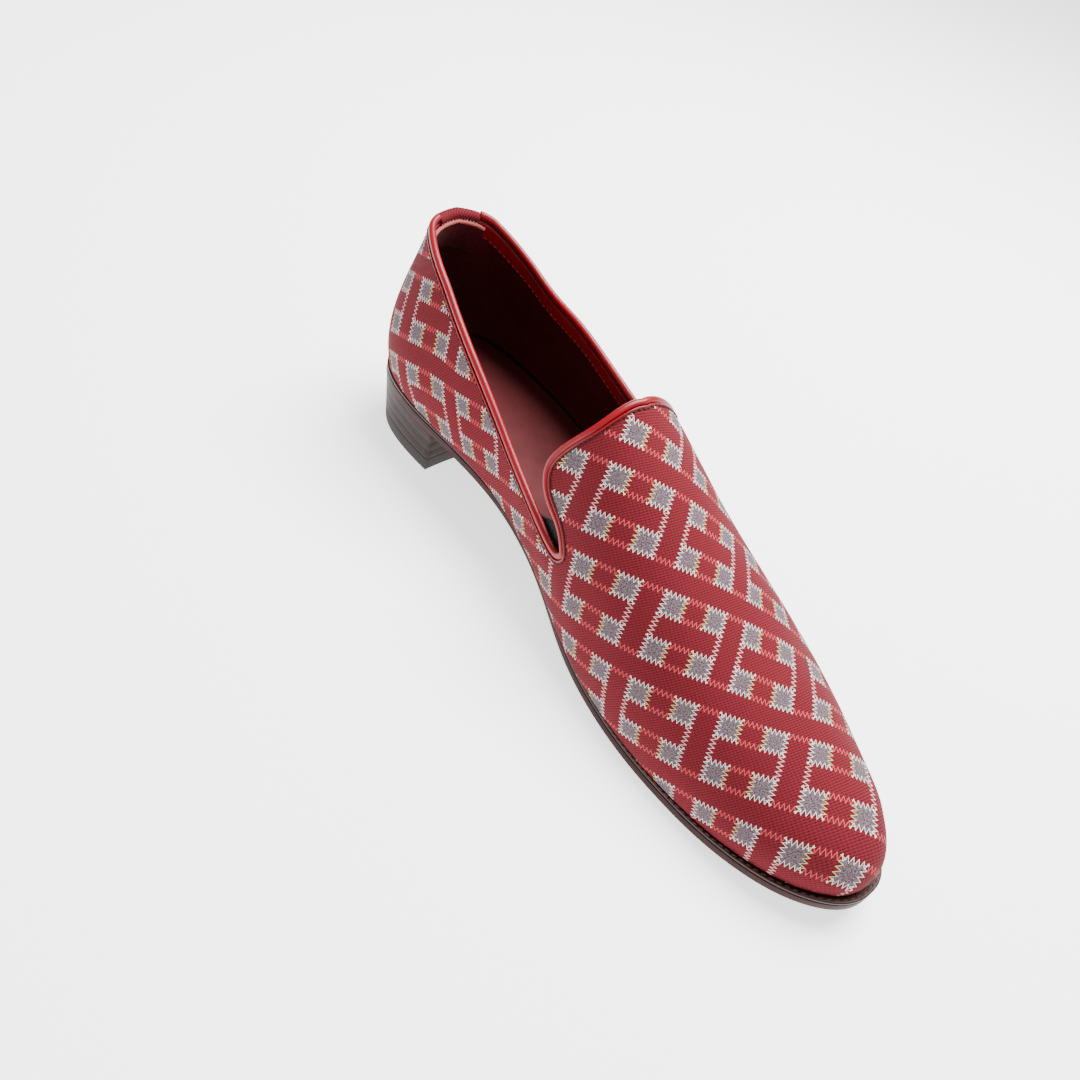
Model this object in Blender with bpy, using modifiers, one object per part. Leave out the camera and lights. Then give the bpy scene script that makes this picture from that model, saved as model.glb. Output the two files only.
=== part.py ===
"""Slip-on loafer, left shoe, standing empty on its sole. Metres, +Z up, toe toward -Y, outer side +X.

The last is a set of ribs that leave the feather edge, bulge outward and end on its upper line. Every
piece of the upper is cut from that one surface, and the sole pieces follow the same feather edge.
"""

import math

import bmesh
import bpy
import numpy as np
from mathutils import Matrix, Vector

# Driving dimensions
SHOE_LENGTH = 0.294
LAST_WIDTH = 0.0875
INSTEP_HEIGHT = 0.075
HEEL_HEIGHT = 0.0245
TOE_SPRING = 0.0095
WALL = 0.0020
OUTSOLE_THICKNESS = 0.0028
WELT_THICKNESS = 0.0014
WELT_INSIDE = 0.0030
INSOLE_THICKNESS = 0.0025
TOP_PIECE_THICKNESS = 0.0060
HEEL_TAPER = 0.0025
BREAST_CURVE = 0.0030
PIPING_RADIUS = 0.0015
TAB_WIDTH = 0.022
TAB_THICKNESS = 0.0010
TAB_FOLD = 0.011
GORE_THICKNESS = 0.0010
CLEARANCE = 0.0003

# Places along the shoe, as shares of its length from the back of the heel
HEEL_BREAST = 0.208
WAIST_START = 0.20
FLAT_START = 0.625
FLAT_END = 0.722

# Feather edge and ribs, a row for each section from the heel back to the toe tip.
# along: share of the length. across: share of the last's width. bulge: outward lean of the wall, share
# of the width. rise: height of the wall's straight part, share of the instep height. top: where the rib
# ends on the upper line. reach: flatness of the rib's end, share of the width. drop: how steeply it
# ends, share of the instep height. edge: how far the sole stands out past the upper, share of the width.
RIB_COLUMNS = (
    "along_inner", "across_inner", "bulge_inner", "edge_inner",
    "along_outer", "across_outer", "bulge_outer", "edge_outer",
    "rise", "top", "reach", "drop",
)
RIBS = (
    (0.014, 0.000, 0.085, 0.008, 0.014, 0.000, 0.085, 0.008, 0.300, 0.00, 0.050, 0.35),
    (0.052, 0.284, 0.078, 0.008, 0.052, 0.260, 0.078, 0.010, 0.300, 0.10, 0.045, 0.35),
    (0.142, 0.368, 0.068, 0.004, 0.142, 0.352, 0.068, 0.012, 0.295, 0.22, 0.040, 0.35),
    (0.245, 0.340, 0.062, -0.004, 0.238, 0.368, 0.060, 0.012, 0.290, 0.34, 0.058, 0.34),
    (0.349, 0.292, 0.082, -0.016, 0.332, 0.392, 0.060, 0.012, 0.287, 0.46, 0.105, 0.30),
    (0.452, 0.312, 0.105, -0.020, 0.418, 0.428, 0.060, 0.014, 0.283, 0.58, 0.185, 0.19),
    (0.539, 0.380, 0.105, -0.012, 0.504, 0.477, 0.055, 0.018, 0.296, 0.70, 0.244, 0.05),
    (0.618, 0.430, 0.082, -0.002, 0.591, 0.518, 0.036, 0.022, 0.281, 0.78, 0.266, 0.00),
    (0.695, 0.454, 0.060, 0.004, 0.677, 0.532, 0.036, 0.024, 0.266, 0.85, 0.280, 0.00),
    (0.775, 0.446, 0.047, 0.008, 0.767, 0.476, 0.043, 0.026, 0.239, 0.91, 0.270, 0.00),
    (0.853, 0.414, 0.045, 0.014, 0.850, 0.344, 0.047, 0.028, 0.217, 0.96, 0.232, 0.00),
    (0.929, 0.330, 0.041, 0.022, 0.926, 0.175, 0.042, 0.028, 0.188, 1.00, 0.185, 0.00),
    (0.975, 0.202, 0.034, 0.028, 0.973, 0.032, 0.032, 0.028, 0.173, 1.00, 0.159, 0.00),
    (0.984, 0.084, 0.032, 0.030, 0.984, -0.077, 0.030, 0.030, 0.170, 1.00, 0.148, 0.00),
)

# Upper line of the last: the collar of its cone, then the ridge of the vamp down to the toe.
# top: place on this line. along: share of the length. half: half width of the cone and centre: place of
# the ridge, shares of the width. height: above the feather edge, share of the instep height.
CREST_COLUMNS = ("top", "along", "half", "centre", "height")
CREST = (
    (0.00, 0.031, 0.000, 0.000, 0.869),
    (0.10, 0.054, 0.180, 0.000, 0.866),
    (0.22, 0.132, 0.254, 0.000, 0.864),
    (0.34, 0.207, 0.249, 0.000, 0.872),
    (0.46, 0.282, 0.200, 0.000, 0.908),
    (0.58, 0.351, 0.120, 0.000, 0.976),
    (0.70, 0.413, 0.000, 0.000, 1.028),
    (0.78, 0.503, 0.000, -0.026, 0.923),
    (0.85, 0.600, 0.000, -0.048, 0.780),
    (0.91, 0.698, 0.000, -0.055, 0.621),
    (0.96, 0.798, 0.000, -0.059, 0.482),
    (1.00, 0.897, 0.000, -0.067, 0.340),
)

# Topline, from the heel back down into the side notch and up round the throat to the ridge.
# top: rib it lies on, by its end on the upper line. share: how far up that rib, inner and outer side.
TOPLINE_COLUMNS = ("top", "share_inner", "share_outer")
TOPLINE = (
    (0.000, 0.932, 0.932),
    (0.100, 0.905, 0.872),
    (0.200, 0.845, 0.752),
    (0.280, 0.738, 0.684),
    (0.360, 0.610, 0.645),
    (0.440, 0.456, 0.585),
    (0.520, 0.347, 0.500),
    (0.590, 0.300, 0.425),
    (0.650, 0.274, 0.370),
    (0.688, 0.283, 0.354),
    (0.706, 0.312, 0.374),
    (0.713, 0.343, 0.404),
    (0.706, 0.373, 0.435),
    (0.688, 0.396, 0.462),
    (0.662, 0.415, 0.484),
    (0.643, 0.446, 0.515),
    (0.638, 0.488, 0.532),
    (0.656, 0.544, 0.566),
    (0.690, 0.612, 0.602),
    (0.718, 0.700, 0.665),
    (0.732, 0.780, 0.755),
    (0.741, 0.880, 0.880),
    (0.744, 1.000, 1.000),
)

# Where the upper's grid lines start on the feather edge: below the notch tip, past it, below the throat
NOTCH_FEET = (0.700, 0.742, 0.862)

# Gores: corners behind the notch, by rib and by share up it, lower back, lower front, upper front, upper back
GORE_INNER = ((0.600, 0.180), (0.770, 0.190), (0.740, 0.420), (0.570, 0.290))
GORE_OUTER = ((0.600, 0.250), (0.770, 0.260), (0.740, 0.480), (0.570, 0.400))

# Mesh counts
TOPLINE_STEPS = 38
VAMP_STEPS = 12
TOE_STEPS = 10
WALL_STEPS = 11
RING_STEPS = 84
PLATE_ROWS = 40
PLATE_COLUMNS = 4

PERIOD = 2.0 * (len(RIBS) - 1)
TIP = float(len(RIBS) - 1)


def column(table, columns, name):
    """One named column of a table as an array."""
    place = columns.index(name)
    return np.array([row[place] for row in table], dtype=float)


def slopes_of(knots, values, closed):
    """Slopes of a smooth cubic through the values, natural at its ends or closed on itself."""
    count = len(values)
    if closed:
        knots = np.append(knots, knots[0] + PERIOD)
        values = np.append(values, values[0])
    steps = np.diff(knots)
    rates = np.diff(values) / steps
    system = np.zeros((count, count))
    right = np.zeros(count)
    for i in range(count):
        if not closed and i in (0, count - 1):
            near = 1 if i == 0 else count - 2
            system[i, i] = 2.0
            system[i, near] = 1.0
            right[i] = 3.0 * rates[0 if i == 0 else count - 2]
            continue
        before = steps[i - 1]
        after = steps[i]
        system[i, (i - 1) % count] += after
        system[i, i] += 2.0 * (before + after)
        system[i, (i + 1) % count] += before
        right[i] = 3.0 * (after * rates[i - 1] + before * rates[i])
    return np.linalg.solve(system, right)


def hermite(knots, values, slopes, places):
    """Value of the cubic with these slopes at the places, held between its ends."""
    places = np.clip(places, knots[0], knots[-1])
    index = np.clip(np.searchsorted(knots, places, side="right") - 1, 0, len(knots) - 2)
    step = knots[index + 1] - knots[index]
    u = (places - knots[index]) / step
    start = (1 + 2 * u) * (1 - u) ** 2 * values[index] + u * (1 - u) ** 2 * step * slopes[index]
    end = u * u * (3 - 2 * u) * values[index + 1] + u * u * (u - 1) * step * slopes[index + 1]
    return start + end


def smooth(knots, values, places):
    """Natural cubic through the values."""
    return hermite(knots, values, slopes_of(knots, values, False), places)


def around(values, places):
    """Closed cubic through one value for each rib, numbered round the shoe from the heel back."""
    knots = np.arange(len(values) + 1.0)
    slopes = slopes_of(knots[:-1], values, True)
    return hermite(knots, np.append(values, values[0]), np.append(slopes, slopes[0]), places % PERIOD)


def monotone(knots, values, places):
    """Cubic that never runs back between two values."""
    rates = np.diff(values) / np.diff(knots)
    slopes = np.zeros(len(values))
    for i in range(1, len(values) - 1):
        if rates[i - 1] * rates[i] > 0:
            slopes[i] = 2.0 * rates[i - 1] * rates[i] / (rates[i - 1] + rates[i])
    return hermite(knots, values, slopes, places)


def both_sides(inner, outer=None):
    """Values for all ribs: the inner side to the toe tip, then the outer side back to the heel."""
    there = column(RIBS, RIB_COLUMNS, inner)
    back = column(RIBS, RIB_COLUMNS, outer or inner)
    return np.concatenate([there, back[-2:0:-1]])


def mirrored(knots, values, odd):
    """Knots and values continued past the heel back, so that both sides meet there smoothly."""
    before = -values[:0:-1] if odd else values[:0:-1]
    return np.concatenate([-knots[:0:-1], knots]), np.concatenate([before, values])


def folded(ribs):
    """Number of the rib counted from the heel back on its own side."""
    return np.abs((np.asarray(ribs, dtype=float) + TIP) % PERIOD - TIP)


def rib_top(ribs):
    """Where each rib ends on the upper line."""
    knots, values = mirrored(np.arange(TIP + 1.0), column(RIBS, RIB_COLUMNS, "top"), True)
    return monotone(knots, values, folded(ribs))


def crest(name, top):
    """A column of the upper line's table at places on that line, in its own share."""
    knots, values = mirrored(column(CREST, CREST_COLUMNS, "top"), column(CREST, CREST_COLUMNS, name), False)
    return smooth(knots, values, top)


def crest_half(top):
    """Half width of the last's cone at places on the upper line."""
    knots, values = mirrored(column(CREST, CREST_COLUMNS, "top"), column(CREST, CREST_COLUMNS, "half"), True)
    return monotone(knots, values, top) * LAST_WIDTH


def crest_height(top):
    """Height of the upper line above the floor."""
    return crest("height", top) * INSTEP_HEIGHT + feather_height(crest("along", top) * SHOE_LENGTH)


def rib_at_top(top, outer):
    """The rib that ends at this place on the upper line."""
    ribs = np.linspace(0.0, TIP - 2.0, 600)
    rib = np.interp(top, rib_top(ribs), ribs)
    return PERIOD - rib if outer else rib


def ground(along):
    """Height of the outsole's underside above the floor at a distance from the heel back."""
    share = np.asarray(along, dtype=float) / SHOE_LENGTH
    climb = np.clip((FLAT_START - share) / (FLAT_START - WAIST_START), 0.0, 1.0)
    seat = 0.1 * np.clip(1.0 - share / (HEEL_BREAST + 0.04), 0.0, 1.0) ** 2
    spring = np.clip((share - FLAT_END) / (1.0 - FLAT_END), 0.0, 1.1) ** 1.8
    return HEEL_HEIGHT * (0.9 * climb ** 2 * (3.0 - 2.0 * climb) + seat) + TOE_SPRING * spring


def welt_floor(along):
    """Underside of the welt."""
    return ground(along) + OUTSOLE_THICKNESS + CLEARANCE


def feather_height(along):
    """Height of the upper's lower edge."""
    return welt_floor(along) + WELT_THICKNESS + CLEARANCE


def feather(ribs):
    """Feather edge: distance from the heel back, side place, and the outward direction in plan."""
    along_values = both_sides("along_inner", "along_outer") * SHOE_LENGTH
    inner = -column(RIBS, RIB_COLUMNS, "across_inner")
    outer = column(RIBS, RIB_COLUMNS, "across_outer")
    across_values = np.concatenate([inner, outer[-2:0:-1]]) * LAST_WIDTH
    along = around(along_values, ribs)
    across = around(across_values, ribs)
    small = 1e-3
    run = around(along_values, ribs + small) - around(along_values, ribs - small)
    turn = around(across_values, ribs + small) - around(across_values, ribs - small)
    size = np.hypot(run, turn)
    return along, across, turn / size, -run / size


def last_point(ribs, shares):
    """Point of the last on each rib, at a share of the way up it, as rows of x, y, z."""
    ribs = np.asarray(ribs, dtype=float)
    shares = np.asarray(shares, dtype=float)[:, None]
    along, across, out_along, out_across = feather(ribs)
    top = rib_top(ribs)
    side = np.where(ribs % PERIOD < TIP, -1.0, 1.0)
    end_across = crest("centre", top) * LAST_WIDTH + side * crest_half(top)
    end = np.stack([end_across, crest("along", top) * SHOE_LENGTH, crest_height(top)], axis=1)
    start = np.stack([across, along, feather_height(along)], axis=1)
    out = np.stack([out_across, out_along, np.zeros(len(ribs))], axis=1)
    up = np.array([[0.0, 0.0, 1.0]])
    bulge = around(both_sides("bulge_inner", "bulge_outer"), ribs)[:, None] * LAST_WIDTH
    rise = around(both_sides("rise"), ribs)[:, None] * INSTEP_HEIGHT
    reach = around(both_sides("reach"), ribs)[:, None] * LAST_WIDTH
    knots, drops = mirrored(np.arange(TIP + 1.0), column(RIBS, RIB_COLUMNS, "drop"), False)
    drop = monotone(knots, drops, folded(ribs)) * INSTEP_HEIGHT
    small = 1e-3
    ahead = np.minimum(top + small, 1.0)
    fall = crest_height(ahead) - crest_height(ahead - 2 * small)
    run = (crest("along", ahead) - crest("along", ahead - 2 * small)) * SHOE_LENGTH
    onset = np.clip((top - 0.58) / 0.12, 0.0, 1.0)
    slope = onset * fall / np.maximum(run, 1e-6)
    lower = start + bulge * out + rise * up
    upper = end + reach * out + (slope[:, None] * out[:, 1:2] * reach - drop[:, None]) * up
    rest = 1.0 - shares
    point = rest ** 3 * start + 3 * rest ** 2 * shares * lower + 3 * rest * shares ** 2 * upper + shares ** 3 * end
    point[:, 1] = SHOE_LENGTH / 2.0 - point[:, 1]
    return point


def last_normal(ribs, shares):
    """Outward direction of the last's surface."""
    ribs = np.asarray(ribs, dtype=float)
    shares = np.asarray(shares, dtype=float)
    small = 1e-3
    below = np.clip(shares, 0.0, 1.0 - 2 * small)
    round_it = last_point(ribs + small, below) - last_point(ribs - small, below)
    up_it = last_point(ribs, below + small) - last_point(ribs, below)
    out = np.cross(round_it, up_it)
    return out / np.linalg.norm(out, axis=1)[:, None]


def topline(outer, steps):
    """Ribs and shares along the topline of one side, from the heel back to the ridge of the vamp."""
    tops = column(TOPLINE, TOPLINE_COLUMNS, "top")
    shares = column(TOPLINE, TOPLINE_COLUMNS, "share_outer" if outer else "share_inner")
    gaps = np.hypot(np.diff(tops) * 2.2, np.diff(shares))
    knots = np.concatenate([[0.0], np.cumsum(gaps)])
    fine = np.linspace(0.0, knots[-1], 400)
    top = np.clip(smooth(knots, tops, fine), 0.0, 1.0)
    share = np.clip(smooth(knots, shares, fine), 0.0, 1.0)
    ribs = rib_at_top(top, outer)
    ribs[0] = PERIOD if outer else 0.0
    points = last_point(ribs, share)
    turning = np.gradient(np.unwrap(np.arctan2(np.gradient(share), np.gradient(top) * 2.2)))
    length = np.concatenate([[0.0], np.cumsum(np.linalg.norm(np.diff(points, axis=0), axis=1))])
    heel = np.exp(-((length / TAB_WIDTH) ** 2))
    weight = np.gradient(length) * (1.0 + 1.5 * heel) + 0.005 * np.abs(turning)
    travel = np.concatenate([[0.0], np.cumsum(0.5 * (weight[1:] + weight[:-1]))])
    wanted = np.linspace(0.0, travel[-1], steps + 1)
    return np.interp(wanted, travel, ribs), np.interp(wanted, travel, share)


def wall_grid(outer):
    """Ribs and shares of the upper's grid on one side, a row of points for each column of the wall.

    Each column starts on the feather edge and ends on the topline or on the ridge of the vamp. Past the
    notch tip the columns first climb and then bend back to the edge of the throat.
    """
    edge_ribs, edge_shares = topline(outer, TOPLINE_STEPS)
    throat = TOPLINE[-1][0]
    tops = rib_top(edge_ribs)
    count = len(tops)
    tip = int(np.argmin(np.where(tops > 0.6, edge_shares, 1.0)))
    corner = tip + int(np.argmin(tops[tip:count - 3]))
    start = int(np.searchsorted(tops[:tip], 0.50))
    foot = tops.copy()
    foot[start:] = np.interp(np.arange(start, count), [start, tip, tip + 3, count - 1], [tops[start], *NOTCH_FEET])
    bend = np.clip((1.0 - edge_shares) / (1.0 - edge_shares[corner]), 0.0, 1.0)
    bend *= np.clip((np.arange(count) - tip + 2) / 4.0, 0.0, 1.0)
    vamp = np.linspace(throat, 1.0, VAMP_STEPS + 1)[1:]
    vamp_foot = NOTCH_FEET[-1] + (vamp - throat) * (1.0 - NOTCH_FEET[-1]) / (1.0 - throat)
    foot = rib_at_top(np.concatenate([foot, vamp_foot]), outer)
    foot[0] = edge_ribs[0]
    ribs = np.concatenate([edge_ribs, rib_at_top(vamp, outer)])
    shares = np.concatenate([edge_shares, np.ones(len(vamp))])
    bend = np.concatenate([bend, np.zeros(len(vamp))])
    bend_ribs = bend * foot + (1.0 - bend) * (foot + ribs) / 2.0
    bend_shares = (1.0 + bend) * shares / 2.0
    steps = np.linspace(0.0, 1.0, WALL_STEPS + 1)[None, :]
    first = (1.0 - steps) ** 2
    second = 2.0 * steps * (1.0 - steps)
    third = steps ** 2
    grid_ribs = first * foot[:, None] + second * bend_ribs[:, None] + third * ribs[:, None]
    grid_shares = second * bend_shares[:, None] + third * shares[:, None]
    return grid_ribs, grid_shares


def new_object(name, mesh, colour, roughness, metallic=0.0):
    """Link a mesh as a named object with a material of its own."""
    thing = bpy.data.objects.new(name, mesh)
    shoe.objects.link(thing)
    material = bpy.data.materials.new(name + "_finish")
    material.use_nodes = True
    shader = material.node_tree.nodes["Principled BSDF"]
    shader.inputs["Base Color"].default_value = (*colour, 1.0)
    shader.inputs["Roughness"].default_value = roughness
    shader.inputs["Metallic"].default_value = metallic
    mesh.materials.append(material)
    return thing


def mesh_from_grid(name, rows, closed=False, ends=()):
    """Mesh of a grid of points, its columns joined in a ring if closed, coinciding points merged."""
    net = bmesh.new()
    grid = [[net.verts.new(point) for point in row] for row in rows]
    count = len(grid)
    for i in range(count if closed else count - 1):
        near = grid[i]
        far = grid[(i + 1) % count]
        for j in range(len(near) - 1):
            net.faces.new((near[j], near[j + 1], far[j + 1], far[j]))
    for j in ends:
        net.faces.new([row[j] for row in grid])
    bmesh.ops.remove_doubles(net, verts=net.verts, dist=1e-6)
    bmesh.ops.recalc_face_normals(net, faces=net.faces)
    mesh = bpy.data.meshes.new(name)
    net.to_mesh(mesh)
    net.free()
    return mesh


def face_outward(mesh, centre):
    """Turn the faces of an open surface so that most look away from the centre."""
    total = sum((face.center - centre).dot(face.normal) * face.area for face in mesh.polygons)
    if total < 0:
        mesh.flip_normals()


def add_wall(thing, thickness, offset):
    """Give an open surface a real thickness: offset -1 puts it inside, 1 outside."""
    shell = thing.modifiers.new("wall", "SOLIDIFY")
    shell.thickness = thickness
    shell.offset = offset
    shell.use_even_offset = True
    shell.use_quality_normals = True


def build_upper():
    """The whole-cut upper: one wall, open at the collar, throat, both notches and underneath."""
    inner = wall_grid(False)
    outer = wall_grid(True)
    toe_ribs = np.linspace(inner[0][-1, 0], outer[0][-1, 0], TOE_STEPS + 1)[1:-1, None]
    toe_shares = np.linspace(0.0, 1.0, WALL_STEPS + 1)[None, :]
    ribs = np.vstack([inner[0], toe_ribs + 0.0 * toe_shares, outer[0][::-1]])
    shares = np.vstack([inner[1], toe_shares + 0.0 * toe_ribs, outer[1][::-1]])
    grid = []
    for column_ribs, column_shares in zip(ribs, shares):
        grid.append([Vector(point) for point in last_point(column_ribs, column_shares)])
    mesh = mesh_from_grid("upper", grid)
    face_outward(mesh, Vector((0.0, 0.0, INSTEP_HEIGHT / 2.0)))
    add_wall(new_object("upper", mesh, (0.242, 0.027, 0.032), 0.85), WALL, -1.0)


def rim_frame(ribs, shares):
    """Topline points with the surface's outward direction and the way out of the edge."""
    points = last_point(ribs, shares)
    outward = last_normal(ribs, shares)
    travel = np.gradient(points, axis=0)
    travel /= np.linalg.norm(travel, axis=1)[:, None]
    beyond = np.cross(outward, travel)
    beyond /= np.linalg.norm(beyond, axis=1)[:, None]
    return points, outward, beyond


def build_piping():
    """Round leather bead that sits on the raw edge, from one side of the back tab to the other."""
    inner = topline(False, TOPLINE_STEPS)
    outer = topline(True, TOPLINE_STEPS)
    ribs = np.concatenate([inner[0], outer[0][::-1][1:]])
    shares = np.concatenate([inner[1], outer[1][::-1][1:]])
    seam = len(inner[0]) - 1
    points, outward, beyond = rim_frame(ribs, shares)
    mid = last_point(ribs[seam:seam + 1], shares[seam:seam + 1])[0]
    outward[seam] = (outward[seam - 1] + outward[seam + 1]) / 2.0
    points[seam] = mid
    centres = points - outward * (WALL / 2.0) + beyond * (PIPING_RADIUS + CLEARANCE)
    length = np.concatenate([[0.0], np.cumsum(np.linalg.norm(np.diff(centres, axis=0), axis=1))])
    margin = TAB_WIDTH / 2.0 + 2.0 * CLEARANCE
    keep = (length > margin + 0.001) & (length < length[-1] - margin - 0.001)
    first = [np.interp(margin, length, centres[:, axis]) for axis in range(3)]
    final = [np.interp(length[-1] - margin, length, centres[:, axis]) for axis in range(3)]
    path = [first, *centres[keep], final]
    curve = bpy.data.curves.new("piping", "CURVE")
    curve.dimensions = "3D"
    line = curve.splines.new("POLY")
    line.points.add(len(path) - 1)
    for spot, place in zip(line.points, path):
        spot.co = (*place, 1.0)
    curve.bevel_depth = PIPING_RADIUS
    curve.bevel_resolution = 2
    curve.use_fill_caps = True
    new_object("piping", curve, (0.462, 0.026, 0.036), 0.40)


def build_heel_tab():
    """Cloth strip over the back seam, folded over the topline and a little way down inside."""
    half = TAB_WIDTH / 2.0
    strip = []
    inner = topline(False, 200)
    outer = topline(True, 200)
    for place in np.linspace(-half, half, 9):
        side = outer if place > 0 else inner
        points = last_point(*side)
        length = np.concatenate([[0.0], np.cumsum(np.linalg.norm(np.diff(points, axis=0), axis=1))])
        rib = np.interp(abs(place), length, side[0])
        high = np.interp(abs(place), length, side[1])
        shares = np.linspace(0.03, high, 9)
        outside = last_point([rib] * 9, shares)
        away = last_normal([rib] * 9, shares)
        rim = outside[-1] - away[-1] * (WALL / 2.0)
        upward = outside[-1] - outside[-2]
        upward /= np.linalg.norm(upward)
        radius = WALL / 2.0 + CLEARANCE
        row = [Vector(p) for p in outside[:-1] + away[:-1] * CLEARANCE]
        for angle in np.linspace(0.0, math.pi, 7):
            row.append(Vector(rim + away[-1] * radius * math.cos(angle) + upward * radius * math.sin(angle)))
        down = np.linspace(high, 0.03, 60)
        inside = last_point([rib] * 60, down)
        inward = last_normal([rib] * 60, down)
        drop = np.concatenate([[0.0], np.cumsum(np.linalg.norm(np.diff(inside, axis=0), axis=1))])
        for depth in (0.35, 0.7, 1.0):
            k = int(np.searchsorted(drop, depth * TAB_FOLD))
            row.append(Vector(inside[k] - inward[k] * (WALL + CLEARANCE)))
        strip.append(row)
    mesh = mesh_from_grid("heel_tab", strip)
    lowest = min(mesh.polygons, key=lambda face: face.center.z)
    if lowest.normal.y < 0:
        mesh.flip_normals()
    add_wall(new_object("heel_tab", mesh, (0.262, 0.030, 0.035), 0.85), TAB_THICKNESS, 1.0)


def build_gore(name, corners, outer):
    """Elastic cloth behind a side notch, a patch of the last's surface inside the wall and the bead."""
    inset = WALL / 2.0 + PIPING_RADIUS + CLEARANCE + 0.00005
    grid = []
    for u in np.linspace(0.0, 1.0, 9):
        low = np.array(corners[0]) * (1 - u) + np.array(corners[1]) * u
        high = np.array(corners[3]) * (1 - u) + np.array(corners[2]) * u
        places = [low * (1 - v) + high * v for v in np.linspace(0.0, 1.0, 7)]
        ribs = rib_at_top(np.array([place[0] for place in places]), outer)
        shares = np.array([place[1] for place in places])
        points = last_point(ribs, shares) - last_normal(ribs, shares) * inset
        grid.append([Vector(point) for point in points])
    mesh = mesh_from_grid(name, grid)
    face_outward(mesh, Vector((0.0, mesh.polygons[0].center.y, mesh.polygons[0].center.z)))
    add_wall(new_object(name, mesh, (0.012, 0.011, 0.012), 0.90), GORE_THICKNESS, -1.0)


def outline(offset):
    """Closed plan outline round the shoe at an offset from the feather edge, as side and length places."""
    ribs = np.linspace(0.0, PERIOD, 521)
    along, across, out_along, out_across = feather(ribs)
    spread = offset(ribs) if callable(offset) else offset
    return ribs, across + out_across * spread, along + out_along * spread


def sole_edge(ribs):
    """How far the sole stands out past the feather edge."""
    return around(both_sides("edge_inner", "edge_outer"), ribs) * LAST_WIDTH


def side_limits(offset):
    """Functions that give the inner and outer side of an outline at a distance from the heel back."""
    ribs, across, along = outline(offset)
    back = int(np.argmin(along))
    front = int(np.argmax(along))
    across = np.roll(across[:-1], -back)
    along = np.roll(along[:-1], -back)
    front = (front - back) % len(along)
    inner = (along[:front + 1], across[:front + 1])
    outer = (np.append(along[front:], along[0])[::-1], np.append(across[front:], across[0])[::-1])
    return along[0], along[front], inner, outer


def build_plate(name, offset, low, high, colour, roughness, end=None, bend=0.0, taper=(0.0, 0.0)):
    """Closed plate inside an outline between two heights, from the heel back to the toe or to an end."""
    first, final, inner, outer = side_limits(offset)
    stop = final if end is None else end
    turn = math.pi if end is None else math.pi / 2.0
    rounds = (1.0 - np.cos(np.linspace(0.0, turn, PLATE_ROWS + 1))) / (1.0 - math.cos(turn))
    net = bmesh.new()
    grid = []
    for share in rounds:
        place = first + (stop - first) * share
        left = np.interp(place, inner[0], inner[1])
        right = np.interp(place, outer[0], outer[1])
        row = []
        for across in np.linspace(-1.0, 1.0, PLATE_COLUMNS + 1):
            side = (left + right) / 2.0 + across * (right - left) / 2.0
            spot = place - bend * share ** 6 * (1.0 - across * across)
            row.append(net.verts.new((side, spot, 0.0)))
        grid.append(row)
    for near, far in zip(grid[:-1], grid[1:]):
        for j in range(PLATE_COLUMNS):
            net.faces.new((near[j], near[j + 1], far[j + 1], far[j]))
    bmesh.ops.remove_doubles(net, verts=net.verts, dist=1e-6)
    under = list(net.verts)
    lifted = bmesh.ops.extrude_face_region(net, geom=list(net.faces), use_keep_orig=True)
    above = [item for item in lifted["geom"] if isinstance(item, bmesh.types.BMVert)]
    for verts, height, inset in ((under, low, taper[0]), (above, high, taper[1])):
        for vert in verts:
            along = vert.co.y
            middle = (first + stop) / 2.0
            wide = max(LAST_WIDTH * 0.35, 1e-6)
            vert.co.z = float(height(along))
            vert.co.x *= 1.0 - inset / wide
            vert.co.y = SHOE_LENGTH / 2.0 - (middle + (along - middle) * (1.0 - inset / (middle - first)))
    bmesh.ops.recalc_face_normals(net, faces=net.faces)
    mesh = bpy.data.meshes.new(name)
    net.to_mesh(mesh)
    net.free()
    new_object(name, mesh, colour, roughness)


def build_welt():
    """Leather welt: a ring under the upper's edge that stands out past it."""
    ribs = np.linspace(0.0, PERIOD, RING_STEPS + 1)[:-1]
    along, across, out_along, out_across = feather(ribs)
    spread = sole_edge(ribs)
    rows = []
    for i in range(RING_STEPS):
        row = []
        for offset, level in ((spread[i], 0), (spread[i], 1), (-WELT_INSIDE, 1), (-WELT_INSIDE, 0), (spread[i], 0)):
            place = along[i] + out_along[i] * offset
            height = float(welt_floor(place)) + level * WELT_THICKNESS
            row.append(Vector((across[i] + out_across[i] * offset, SHOE_LENGTH / 2.0 - place, height)))
        rows.append(row)
    mesh = mesh_from_grid("welt", rows, closed=True)
    new_object("welt", mesh, (0.070, 0.020, 0.014), 0.45)


def build_bottom():
    """Insole, outsole, heel stack and the rubber top piece."""
    build_plate(
        "outsole", sole_edge, ground, lambda y: ground(y) + OUTSOLE_THICKNESS, (0.120, 0.040, 0.028), 0.45,
    )
    build_plate(
        "insole", -WELT_INSIDE - CLEARANCE, welt_floor, lambda y: welt_floor(y) + INSOLE_THICKNESS,
        (0.420, 0.270, 0.170), 0.80,
    )
    breast = HEEL_BREAST * SHOE_LENGTH
    joint = TOP_PIECE_THICKNESS / HEEL_HEIGHT * HEEL_TAPER
    build_plate(
        "heel_stack", lambda ribs: sole_edge(ribs) - CLEARANCE, lambda y: TOP_PIECE_THICKNESS + CLEARANCE,
        lambda y: ground(y) - CLEARANCE, (0.030, 0.014, 0.012), 0.30,
        end=breast, bend=BREAST_CURVE, taper=(HEEL_TAPER - joint, 0.0),
    )
    build_plate(
        "heel_top_piece", lambda ribs: sole_edge(ribs) - CLEARANCE, lambda y: 0.0,
        lambda y: TOP_PIECE_THICKNESS, (0.016, 0.014, 0.014), 0.65,
        end=breast, bend=BREAST_CURVE, taper=(HEEL_TAPER, HEEL_TAPER - joint),
    )


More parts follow.
